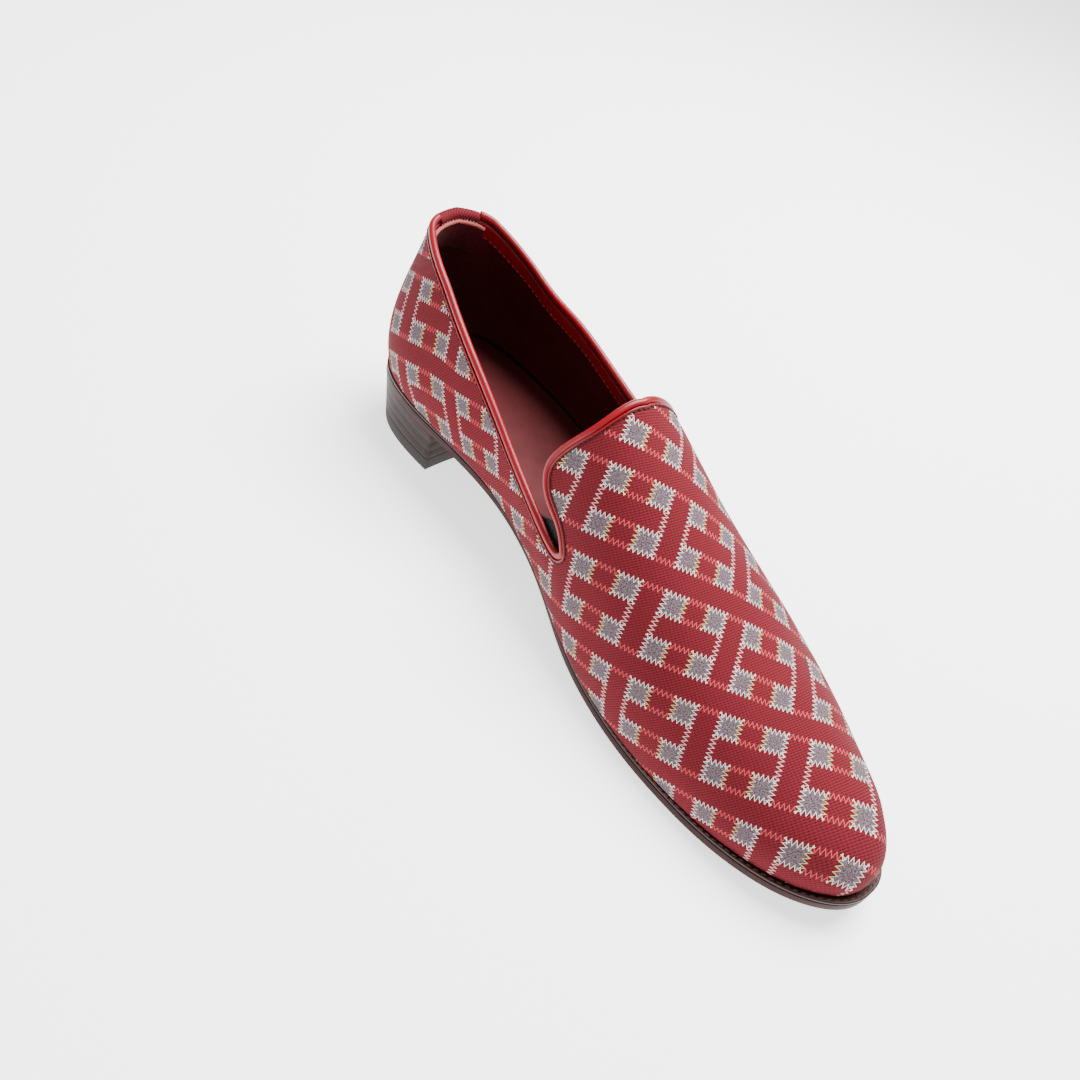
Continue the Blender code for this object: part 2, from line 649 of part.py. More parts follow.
def settle():
    """Bring the middle of the shoe's plan to the origin."""
    graph = bpy.context.evaluated_depsgraph_get()
    spots = []
    for thing in shoe.objects:
        shown = thing.evaluated_get(graph)
        spots.extend(vertex.co.copy() for vertex in shown.to_mesh().vertices)
        shown.to_mesh_clear()
    middle = [(max(c[axis] for c in spots) + min(c[axis] for c in spots)) / 2.0 for axis in range(2)]
    for thing in shoe.objects:
        thing.data.transform(Matrix.Translation((-middle[0], -middle[1], 0.0)))


for leftover in list(bpy.data.objects):
    bpy.data.objects.remove(leftover, do_unlink=True)
shoe = bpy.data.collections.new("loafer")
bpy.context.scene.collection.children.link(shoe)

build_bottom()
build_welt()
build_upper()
build_heel_tab()
build_piping()
build_gore("gore_medial", GORE_INNER, False)
build_gore("gore_lateral", GORE_OUTER, True)
settle()
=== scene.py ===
"""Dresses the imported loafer: woven check upper, leather piping, welted leather sole and stacked heel.

Lengths are metres in the row's frame, with the toe toward -Y, +Z up and the outer side toward +X. Cloth,
lining, piping and stitches all lie on one surface, the last's, so they follow one shape.
"""

import logging
import math
from collections.abc import Callable
from dataclasses import dataclass, field
from enum import Enum

import bmesh
import bpy
import numpy as np
from mathutils import Matrix, Vector


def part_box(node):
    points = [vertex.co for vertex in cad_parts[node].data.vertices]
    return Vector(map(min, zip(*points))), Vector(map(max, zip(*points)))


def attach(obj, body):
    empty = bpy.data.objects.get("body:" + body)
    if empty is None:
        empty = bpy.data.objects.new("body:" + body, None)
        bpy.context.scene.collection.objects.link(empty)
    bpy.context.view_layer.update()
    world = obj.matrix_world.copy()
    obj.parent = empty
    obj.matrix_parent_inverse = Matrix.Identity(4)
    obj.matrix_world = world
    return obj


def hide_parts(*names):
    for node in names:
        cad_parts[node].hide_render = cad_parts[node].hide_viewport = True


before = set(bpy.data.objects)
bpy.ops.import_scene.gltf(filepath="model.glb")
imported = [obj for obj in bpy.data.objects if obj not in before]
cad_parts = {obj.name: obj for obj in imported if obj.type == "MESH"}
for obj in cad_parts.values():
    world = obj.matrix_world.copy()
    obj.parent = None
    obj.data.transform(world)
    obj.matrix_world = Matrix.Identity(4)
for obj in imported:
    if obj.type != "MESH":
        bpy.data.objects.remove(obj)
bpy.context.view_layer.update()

LOG = logging.getLogger("loafer")
MM = 0.001
GAP = 0.0003  # between neighbouring pieces, as in the CAD
WELD = 2e-6  # vertices nearer than this are one
NUDGE = 1e-3  # a small step in ribs or shares, to find a direction
IOR = 1.5  # of leather, wool, rubber and acrylic, which all lie close to it
BODY = "root"
Height = Callable[[float], float]
Offset = float | Callable[[np.ndarray], np.ndarray]


class Side(Enum):
    """The two sides of the left shoe, by the sign of X."""

    INNER = -1
    OUTER = 1


class Grow(Enum):
    """Which way a sheet gets its thickness, as Solidify's offset."""

    INWARD = -1.0
    OUTWARD = 1.0


def linear(code: str) -> tuple[float, float, float, float]:
    """Turns an sRGB hex colour into linear light.

    Args:
        code: Colour as "#RRGGBB".

    Returns:
        Red, green, blue and alpha of 1.
    """
    parts = [int(code[i:i + 2], 16) / 255.0 for i in (1, 3, 5)]
    lit = [part / 12.92 if part <= 0.04045 else ((part + 0.055) / 1.055) ** 2.4 for part in parts]
    return lit[0], lit[1], lit[2], 1.0


def plug(tree: bpy.types.NodeTree, node: bpy.types.Node, inputs: dict) -> None:
    """Links sockets to a node's inputs, or sets their values.

    Args:
        tree: The material's node tree.
        node: The node.
        inputs: A socket to link or a value to set, by the input's name or number.
    """
    for name, value in inputs.items():
        if isinstance(value, bpy.types.NodeSocket):
            tree.links.new(value, node.inputs[name])
        else:
            node.inputs[name].default_value = value


def add(tree: bpy.types.NodeTree, kind: str, inputs: dict | None = None, **settings) -> bpy.types.Node:
    """Adds a shader node with its settings and links.

    Args:
        tree: The material's node tree.
        kind: Blender's type name of the node.
        inputs: A socket to link or a value to set, by the input's name or number.
        settings: The node's own properties.

    Returns:
        The new node.
    """
    node = tree.nodes.new(kind)
    for name, value in settings.items():
        setattr(node, name, value)
    plug(tree, node, inputs or {})
    return node


def work_out(tree: bpy.types.NodeTree, known: dict, steps: tuple) -> dict:
    """Adds the math nodes of a short list of sums.

    Args:
        tree: The material's node tree.
        known: Sockets and numbers by name, which the sums may use and which their results join.
        steps: Rows of a result's name, its operation and its terms.

    Returns:
        The names with the new results added.
    """
    for name, operation, *terms in steps:
        inputs = {place: known.get(term, term) for place, term in enumerate(terms)}
        known[name] = add(tree, "ShaderNodeMath", inputs, operation=operation).outputs[0]
    return known


def per_metre(size_mm: float) -> float:
    """Returns the scale of a pattern that repeats at this size in millimetres."""
    return 1.0 / (size_mm * MM)


def column(rows: tuple, columns: tuple[str, ...], name: str) -> np.ndarray:
    """Returns one named column of a table."""
    return np.array([row[columns.index(name)] for row in rows], dtype=float)


@dataclass(frozen=True)
class Finish:
    """What all finishes share: a name, and a material that is made the first time it is worn."""

    name: str

    def nodes(self, tree: bpy.types.NodeTree) -> dict:
        """Adds the nodes of the finish's own pattern.

        Args:
            tree: The material's node tree.

        Returns:
            A socket or a value for each input of the shader that the finish sets.
        """
        raise NotImplementedError(self.name)

    def material(self) -> bpy.types.Material:
        """Makes the material, or finds it where it is made already.

        Returns:
            The material.
        """
        material = bpy.data.materials.get(self.name)
        if material is None:
            material = bpy.data.materials.new(self.name)
            material.use_nodes = True
            tree = material.node_tree
            plug(tree, tree.nodes["Principled BSDF"], {"IOR": IOR, **self.nodes(tree)})
        return material

    def surface(self, tree: bpy.types.NodeTree, dyes: tuple, height: bpy.types.NodeSocket,
                strength: float, deep_mm: float) -> dict:
        """Lays dyes over each other and raises a relief under them.

        Args:
            tree: The material's node tree.
            dyes: The ground colour, then pairs of a share and the colour that covers the ground by it.
            height: Height of the relief, 0 to 1.
            strength: Strength of the relief.
            deep_mm: Depth of the relief.

        Returns:
            The shader's base colour and normal.
        """
        colour, *coats = dyes
        for share, coat in coats:
            colour = add(tree, "ShaderNodeMix", {0: share, 6: colour, 7: coat}, data_type="RGBA").outputs[2]
        relief = {"Height": height, "Strength": strength, "Distance": deep_mm * MM}
        return {"Base Color": colour, "Normal": add(tree, "ShaderNodeBump", relief).outputs[0]}


@dataclass(frozen=True)
class Leather(Finish):
    """Smooth calf, tanned, dyed and polished: a fine pebbled grain, a soft gloss and a slightly uneven dye.

    Its pores stand 0.2 to 0.4 mm apart in the real one. They are drawn coarser, so that they show.
    """

    colour: str
    shade: str
    roughness: float
    grain_mm: float = 0.9
    depth_mm: float = 0.03
    coat: float = 0.0
    dye_mm: float = 16.67
    uneven: tuple[float, float] = (-0.06, 0.08)
    gloss: float = 0.30

    def nodes(self, tree: bpy.types.NodeTree) -> dict:
        """Adds pores between rounded cells and broad patches of dye.

        Args:
            tree: The material's node tree.

        Returns:
            A socket or a value for each input of the shader that the leather sets.
        """
        place = add(tree, "ShaderNodeTexCoord").outputs["Object"]
        grain = {"Vector": place, "Scale": per_metre(self.grain_mm)}
        cells = add(tree, "ShaderNodeTexVoronoi", grain, feature="DISTANCE_TO_EDGE").outputs["Distance"]
        pores = add(tree, "ShaderNodeMapRange", {"Value": cells, 1: 0.0, 2: 0.25}).outputs[0]
        patches = {"Vector": place, "Scale": per_metre(self.dye_mm), "Detail": 3.0}
        dye = add(tree, "ShaderNodeTexNoise", patches).outputs["Fac"]
        low, high = (self.roughness + part for part in self.uneven)
        dyes = (linear(self.colour), (dye, linear(self.shade)))
        return {
            **self.surface(tree, dyes, pores, 0.6, self.depth_mm),
            "Roughness": add(tree, "ShaderNodeMapRange", {"Value": dye, 3: low, 4: high}).outputs[0],
            "Specular IOR Level": self.gloss,
            "Coat Weight": self.coat,
            "Coat Roughness": 0.12,
        }


@dataclass(frozen=True)
class StackedEdge(Finish):
    """Sole and heel leather on edge, inked, waxed and burnished: thin level lines and a hard gloss."""

    colour: str
    line: str
    roughness: float
    layer_mm: float
    coat: float
    mark: float
    ink: str = "#120807"
    fibre_mm: tuple[float, float, float] = (11.11, 11.11, 1.111)
    joint: float = 0.035

    def nodes(self, tree: bpy.types.NodeTree) -> dict:
        """Adds level joints between layers and long fibres in them.

        Args:
            tree: The material's node tree.

        Returns:
            A socket or a value for each input of the shader that the edge sets.
        """
        place = add(tree, "ShaderNodeTexCoord").outputs["Object"]
        fibre = {"Vector": place, "Scale": tuple(per_metre(size) for size in self.fibre_mm)}
        drawn = add(tree, "ShaderNodeMapping", fibre).outputs[0]
        noise = add(tree, "ShaderNodeTexNoise", {"Vector": drawn, "Scale": 1.0, "Detail": 4.0}).outputs["Fac"]
        height = add(tree, "ShaderNodeSeparateXYZ", {0: place}).outputs["Z"]
        sums = work_out(tree, {"height": height, "noise": noise}, (
            ("layers", "DIVIDE", "height", self.layer_mm * MM),
            ("part", "FRACT", "layers"),
            ("off", "SUBTRACT", "part", 0.5),
            ("far", "ABSOLUTE", "off"),
            ("joint", "GREATER_THAN", "far", 0.5 - self.joint),
            ("mark", "MULTIPLY", "joint", self.mark),
            ("dull", "MULTIPLY", "noise", 0.22),
            ("rough", "ADD", "dull", self.roughness),
            ("low", "MULTIPLY", "joint", -1.0),
            ("relief", "ADD", "low", "noise"),
        ))
        dyes = (linear(self.colour), (noise, linear(self.ink)), (sums["mark"], linear(self.line)))
        return {
            **self.surface(tree, dyes, sums["relief"], 0.5, 0.04),
            "Roughness": sums["rough"],
            "Specular IOR Level": 0.16,
            "Coat Weight": self.coat,
            "Coat Roughness": 0.10,
        }


@dataclass(frozen=True)
class Suede(Finish):
    """Flesh side of split leather, buffed, raw at its cut edge: matt, napped and lighter on the nap.

    The real fibres are about 0.1 mm thick. The nap is drawn coarser, so that it shows.
    """

    colour: str
    nap: str
    fuzz_mm: float = 0.5556
    patch_mm: float = 9.091

    def nodes(self, tree: bpy.types.NodeTree) -> dict:
        """Adds a fine nap over broad patches.

        Args:
            tree: The material's node tree.

        Returns:
            A socket or a value for each input of the shader that the suede sets.
        """
        place = add(tree, "ShaderNodeTexCoord").outputs["Object"]
        nap = {"Vector": place, "Scale": per_metre(self.fuzz_mm), "Detail": 4.0, "Roughness": 0.7}
        fuzz = add(tree, "ShaderNodeTexNoise", nap).outputs["Fac"]
        broad = {"Vector": place, "Scale": per_metre(self.patch_mm), "Detail": 2.0}
        patch = add(tree, "ShaderNodeTexNoise", broad).outputs["Fac"]
        share = work_out(tree, {"fuzz": fuzz, "patch": patch}, (
            ("both", "ADD", "fuzz", "patch"),
            ("share", "MULTIPLY", "both", 0.5),
        ))["share"]
        dyes = (linear(self.colour), (share, linear(self.nap)))
        return {
            **self.surface(tree, dyes, fuzz, 0.8, 0.15),
            "Roughness": 0.95,
            "Sheen Weight": 0.05,
            "Specular IOR Level": 0.15,
        }


@dataclass(frozen=True)
class WovenCheck(Finish):
    """Jacquard worsted: a red twill ground with grey squares that zigzag threads frame and join.

    The cloth map counts squares, one unit from a square to the next. Squares stand in groups of two by
    two. Zigzag threads run along the outer edges of each row of a group and on to the next group, and
    along its inner edges only inside the group. The threads across them join the group's two rows.
    The twill's ridges stand nearer 0.8 mm apart in the real cloth, and are drawn a little coarser.
    Sizes without a unit in their name are in squares.
    """

    ground: str = "#731A24"
    ground_dark: str = "#2C070E"
    ground_light: str = "#802831"
    square_dark: str = "#3A2E35"
    square_light: str = "#7E6E74"
    thread: str = "#C84A50"
    thread_white: str = "#FBF1EA"
    thread_yellow: str = "#EAD488"
    pitch_mm: float = 16.5
    reach: float = 0.217
    swing: float = 0.060
    tooth: float = 0.100
    collar: float = 0.05
    stroke: float = 0.020
    stroke_white: float = 0.0125
    twill_mm: float = 0.9
    twill_way: tuple[float, float] = (0.59, 0.81)
    float_share: float = 0.7
    cover: float = 0.40
    cover_beside: float = 0.55
    speck_mm: float = 0.4853
    broad_mm: float = 33.0

    def twill(self, tree: bpy.types.NodeTree, sums: dict) -> None:
        """Adds the twill's ridges and the floats across them.

        Args:
            tree: The material's node tree.
            sums: The cloth map's u and v, which "wave" and "floats" join.
        """
        turns = self.pitch_mm / self.twill_mm * 2.0 * math.pi
        over, up = (part * turns for part in self.twill_way)
        for name, by_u, by_v in (
            ("wave", over, up), ("floats", -up * self.float_share, over * self.float_share),
        ):
            work_out(tree, sums, (
                ("turn_u", "MULTIPLY", "u", by_u),
                ("turn", "MULTIPLY_ADD", "v", by_v, "turn_u"),
                (name, "SINE", "turn"),
            ))

    def zigzags(self, tree: bpy.types.NodeTree, sums: dict) -> None:
        """Adds the zigzag threads round the squares and between them.

        Args:
            tree: The material's node tree.
            sums: The cloth map's u and v, which the shares of each thread join.
        """
        beside = self.reach + self.collar
        climb = 4.0 * self.swing / self.tooth
        for a in "uv":
            work_out(tree, sums, (
                ("square_" + a, "ROUND", a),
                ("odd_" + a, "FLOORED_MODULO", "square_" + a, 2.0),
                ("outward_" + a, "MULTIPLY_ADD", "odd_" + a, 2.0, -1.0),
                ("off_" + a, "SUBTRACT", a, "square_" + a),
                ("place_" + a, "MULTIPLY", "off_" + a, "outward_" + a),
                ("saw_" + a, "PINGPONG", a, self.tooth / 2.0),
                ("edge_" + a, "MULTIPLY_ADD", "saw_" + a, climb, self.reach - self.swing),
                ("size_" + a, "ABSOLUTE", "place_" + a),
                ("beside_" + a, "LESS_THAN", "size_" + a, beside),
                ("short_" + a, "LESS_THAN", "place_" + a, beside),
                ("outer_" + a, "GREATER_THAN", "place_" + a, 0.0),
            ))
        for a, b in ("uv", "vu"):
            work_out(tree, sums, (
                ("past_" + a, "SUBTRACT", "size_" + a, "edge_" + b),
                ("in_" + a, "LESS_THAN", "past_" + a, 0.0),
                ("near_" + a, "ABSOLUTE", "past_" + a),
                ("wide_" + a, "MULTIPLY_ADD", "beside_" + b, self.stroke_white - self.stroke, self.stroke),
                ("on_" + a, "LESS_THAN", "near_" + a, "wide_" + a),
            ))
        work_out(tree, sums, (
            ("core", "MULTIPLY", "in_u", "in_v"),
            ("along_inner", "MAXIMUM", "outer_v", "short_u"),
            ("along", "MULTIPLY", "on_v", "along_inner"),
            ("across_outer", "MULTIPLY", "outer_u", "short_v"),
            ("across_where", "MAXIMUM", "across_outer", "beside_v"),
            ("across", "MULTIPLY", "on_u", "across_where"),
            ("any", "MAXIMUM", "along", "across"),
            ("white_along", "MULTIPLY", "along", "beside_u"),
            ("inner_u", "SUBTRACT", 1.0, "outer_u"),
            ("yellow_here", "MULTIPLY", "inner_u", "beside_v"),
            ("yellow", "MULTIPLY", "across", "yellow_here"),
            ("white_across", "SUBTRACT", "across", "yellow"),
            ("white_share", "MULTIPLY_ADD", "beside_v", self.cover_beside, self.cover),
            ("white_here", "MULTIPLY", "white_across", "white_share"),
            ("white", "MAXIMUM", "white_along", "white_here"),
        ))

    def nodes(self, tree: bpy.types.NodeTree) -> dict:
        """Adds the twill, the squares and the threads over them.

        Args:
            tree: The material's node tree.

        Returns:
            A socket or a value for each input of the shader that the cloth sets.
        """
        chart = add(tree, "ShaderNodeUVMap", uv_map="cloth").outputs[0]
        parts = add(tree, "ShaderNodeSeparateXYZ", {0: chart})
        sums = {"u": parts.outputs["X"], "v": parts.outputs["Y"]}
        self.zigzags(tree, sums)
        self.twill(tree, sums)
        for name, size in (("speck", self.speck_mm), ("broad", self.broad_mm)):
            pattern = {"Vector": chart, "Scale": self.pitch_mm / size, "Detail": 2.0}
            sums[name] = add(tree, "ShaderNodeTexNoise", pattern).outputs["Fac"]
        sums["grit"] = add(tree, "ShaderNodeMapRange", {"Value": sums["speck"], 1: 0.35, 2: 0.65}).outputs[0]
        work_out(tree, sums, (
            ("wale", "MULTIPLY_ADD", "wave", 0.5, 0.55),
            ("ridge", "MULTIPLY_ADD", "floats", 0.22, "wale"),
            ("lift", "MULTIPLY_ADD", "any", 1.2, "ridge"),
            ("small", "MULTIPLY", "grit", 0.25),
            ("fleck", "MULTIPLY_ADD", "broad", 0.20, "small"),
        ))
        greys = {0: sums["grit"], 6: linear(self.square_dark), 7: linear(self.square_light)}
        grey = add(tree, "ShaderNodeMix", greys, data_type="RGBA").outputs[2]
        dyes = (
            linear(self.ground_dark),
            (sums["ridge"], linear(self.ground)), (sums["fleck"], linear(self.ground_light)),
            (sums["core"], grey), (sums["any"], linear(self.thread)),
            (sums["yellow"], linear(self.thread_yellow)), (sums["white"], linear(self.thread_white)),
        )
        return {
            **self.surface(tree, dyes, sums["lift"], 0.55, 0.12),
            "Roughness": 0.85,
            "Sheen Weight": 0.02,
            "Specular IOR Level": 0.10,
        }


@dataclass(frozen=True)
class ElasticCloth(Finish):
    """Knitted rubber gore: close upright cords under a dull black knit."""

    colour: str
    rib: str
    rib_mm: float

    def nodes(self, tree: bpy.types.NodeTree) -> dict:
        """Adds the cords and the stitches over them.

        Args:
            tree: The material's node tree.

        Returns:
            A socket or a value for each input of the shader that the elastic sets.
        """
        chart = add(tree, "ShaderNodeUVMap", uv_map="cloth").outputs[0]
        parts = add(tree, "ShaderNodeSeparateXYZ", {0: chart})
        sums = work_out(tree, {"u": parts.outputs["X"], "v": parts.outputs["Y"]}, (
            ("turns", "MULTIPLY", "u", 2.0 * math.pi / self.rib_mm),
            ("cord", "SINE", "turns"),
            ("knits", "MULTIPLY", "v", 2.0 * math.pi / (0.5 * self.rib_mm)),
            ("knit", "SINE", "knits"),
            ("fine", "MULTIPLY", "knit", 0.3),
            ("high", "MULTIPLY_ADD", "cord", 0.5, 0.5),
            ("relief", "ADD", "high", "fine"),
        ))
        dyes = (linear(self.colour), (sums["high"], linear(self.rib)))
        return {**self.surface(tree, dyes, sums["relief"], 0.8, 0.2), "Roughness": 0.85}


@dataclass(frozen=True)
class Thread(Finish):
    """Waxed linen sewing thread: twisted plies that catch a small highlight, with painted shade between them.
    """

    colour: str
    # Colour of the painted shade between the plies.
    painted_ply_shade: str = "#2A0A0A"
    ply_mm: float = 0.4

    def nodes(self, tree: bpy.types.NodeTree) -> dict:
        """Adds the uneven plies and the painted shade between them.

        Args:
            tree: The material's node tree.

        Returns:
            A socket or a value for each input of the shader that the thread sets.
        """
        place = add(tree, "ShaderNodeTexCoord").outputs["Object"]
        twist = {"Vector": place, "Scale": per_metre(self.ply_mm), "Detail": 2.0}
        ply = add(tree, "ShaderNodeTexNoise", twist).outputs["Fac"]
        # The ply noise mixes in the painted shade between the plies.
        dyes = (linear(self.colour), (ply, linear(self.painted_ply_shade)))
        return {**self.surface(tree, dyes, ply, 0.5, 0.05), "Roughness": 0.6, "Specular IOR Level": 0.20}


@dataclass(frozen=True)
class Rubber(Finish):
    """Moulded heel rubber: black with a faint grey bloom and a fine matt texture, drawn coarser than real."""

    colour: str
    bloom: str = "#3A3432"
    bloom_mm: float = 7.143
    grit_mm: float = 0.4545

    def nodes(self, tree: bpy.types.NodeTree) -> dict:
        """Adds the bloom and the mould's texture.

        Args:
            tree: The material's node tree.

        Returns:
            A socket or a value for each input of the shader that the rubber sets.
        """
        place = add(tree, "ShaderNodeTexCoord").outputs["Object"]
        dust = {"Vector": place, "Scale": per_metre(self.bloom_mm), "Detail": 4.0}
        clouds = add(tree, "ShaderNodeTexNoise", dust).outputs["Fac"]
        texture = {"Vector": place, "Scale": per_metre(self.grit_mm), "Detail": 2.0}
        grit = add(tree, "ShaderNodeTexNoise", texture).outputs["Fac"]
        share = add(tree, "ShaderNodeMapRange", {"Value": clouds, 1: 0.45, 2: 0.8, 4: 0.35}).outputs[0]
        dyes = (linear(self.colour), (share, linear(self.bloom)))
        return {**self.surface(tree, dyes, grit, 0.5, 0.05), "Roughness": 0.7}


@dataclass(frozen=True)
class Acrylic(Finish):
    """Backlit studio floor of matt white acrylic: it glows a little, so shadows stay pale."""

    colour: str
    glow: float
    cloud: str = "#F2EEEA"
    cloud_mm: float = 333.3

    def nodes(self, tree: bpy.types.NodeTree) -> dict:
        """Adds faint clouds to the white.

        Args:
            tree: The material's node tree.

        Returns:
            A socket or a value for each input of the shader that the floor sets.
        """
        place = add(tree, "ShaderNodeTexCoord").outputs["Object"]
        broad = {"Vector": place, "Scale": per_metre(self.cloud_mm), "Detail": 2.0}
        clouds = add(tree, "ShaderNodeTexNoise", broad).outputs["Fac"]
        share = add(tree, "ShaderNodeMapRange", {"Value": clouds, 4: 0.08}).outputs[0]
        whites = {0: share, 6: linear(self.colour), 7: linear(self.cloud)}
        return {
            "Base Color": add(tree, "ShaderNodeMix", whites, data_type="RGBA").outputs[2],
            "Roughness": 0.9,
            "Emission Color": linear(self.colour),
            "Emission Strength": self.glow,
        }


def drape(name: str, points: np.ndarray, chart: np.ndarray | None = None, hug: Vector | None = None,
          ring: bool = False) -> bpy.types.Object:
    """Lays a grid of Blender's own over rows of points.

    Args:
        name: Name of the new object.
        points: Array of columns by rows by 3.
        chart: Cloth map of each point, an array of columns by rows by 2.
        hug: The faces look away from this place, where one is given.
        ring: Whether the last column meets the first.

    Returns:
        The object, smooth and linked to the scene.
    """
    wide, high = points.shape[:2]
    net = bmesh.new()
    bmesh.ops.create_grid(net, x_segments=wide - 1, y_segments=high - 1, size=0.5)
    place = net.loops.layers.uv.new("cloth")
    where = {
        vert.index: (round((vert.co.x + 0.5) * (wide - 1)), round((vert.co.y + 0.5) * (high - 1)))
        for vert in net.verts
    }
    if chart is not None:
        for face in net.faces:
            for loop in face.loops:
                loop[place].uv = chart[where[loop.vert.index]]
    for vert in net.verts:
        vert.co = points[where[vert.index]]
    bmesh.ops.remove_doubles(net, verts=net.verts, dist=WELD)
    if ring:
        bmesh.ops.recalc_face_normals(net, faces=net.faces)
    net.normal_update()
    if hug is not None:
        facing = (
            (face.calc_center_median() - hug).dot(face.normal) * face.calc_area() for face in net.faces
        )
        if sum(facing) < 0.0:
            bmesh.ops.reverse_faces(net, faces=net.faces)
    return finish_mesh(name, net)


def finish_mesh(name: str, net: bmesh.types.BMesh) -> bpy.types.Object:
    """Writes a bmesh to a new smooth object.

    Args:
        name: Name of the object.
        net: The bmesh, which is freed.

    Returns:
        The object, linked to the scene.
    """
    for face in net.faces:
        face.smooth = True
    mesh = bpy.data.meshes.new(name)
    net.to_mesh(mesh)
    net.free()
    thing = bpy.data.objects.new(name, mesh)
    bpy.context.scene.collection.objects.link(thing)
    return thing


def thicken(thing: bpy.types.Object, wall: float, grow: Grow) -> None:
    """Gives an open sheet a thickness with Solidify.

    Args:
        thing: The sheet.
        wall: Thickness in metres.
        grow: Which way it goes.
    """
    shell = thing.modifiers.new("wall", "SOLIDIFY")
    shell.thickness = wall
    shell.offset = grow.value
    shell.use_even_offset = False
    shell.use_quality_normals = True


def wear(thing: bpy.types.Object, finish: Finish, slot: str, *nodes: str) -> None:
    """Gives a piece its material and its body, hides the CAD nodes that it replaces, and reports it.

    Args:
        thing: The piece.
        finish: Its finish.
        slot: The record's material slot; not used.
        nodes: The CAD nodes that it replaces.
    """
    thing.data.materials.append(finish.material())
    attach(thing, BODY)
    if nodes:
        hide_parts(*nodes)
    LOG.info("%s: %d faces", thing.name, len(thing.data.polygons))


def along_path(points: np.ndarray) -> np.ndarray:
    """Distance of each point of a path from its start.

    Args:
        points: Rows of x, y, z.

    Returns:
        The distances.
    """
    return np.concatenate([[0.0], np.cumsum(np.linalg.norm(np.diff(points, axis=0), axis=1))])


def at_distance(places: np.ndarray, length: np.ndarray, values: np.ndarray) -> np.ndarray:
    """Reads rows of values at distances along a path.

    Args:
        places: Distances wanted.
        length: Distances of the rows.
        values: The rows, of any width.

    Returns:
        One row for each place.
    """
    return np.stack([np.interp(places, length, values[:, axis]) for axis in range(values.shape[1])], axis=1)


def unit(rows: np.ndarray) -> np.ndarray:
    """Returns rows scaled to length one."""
    return rows / np.maximum(np.linalg.norm(rows, axis=-1, keepdims=True), 1e-12)


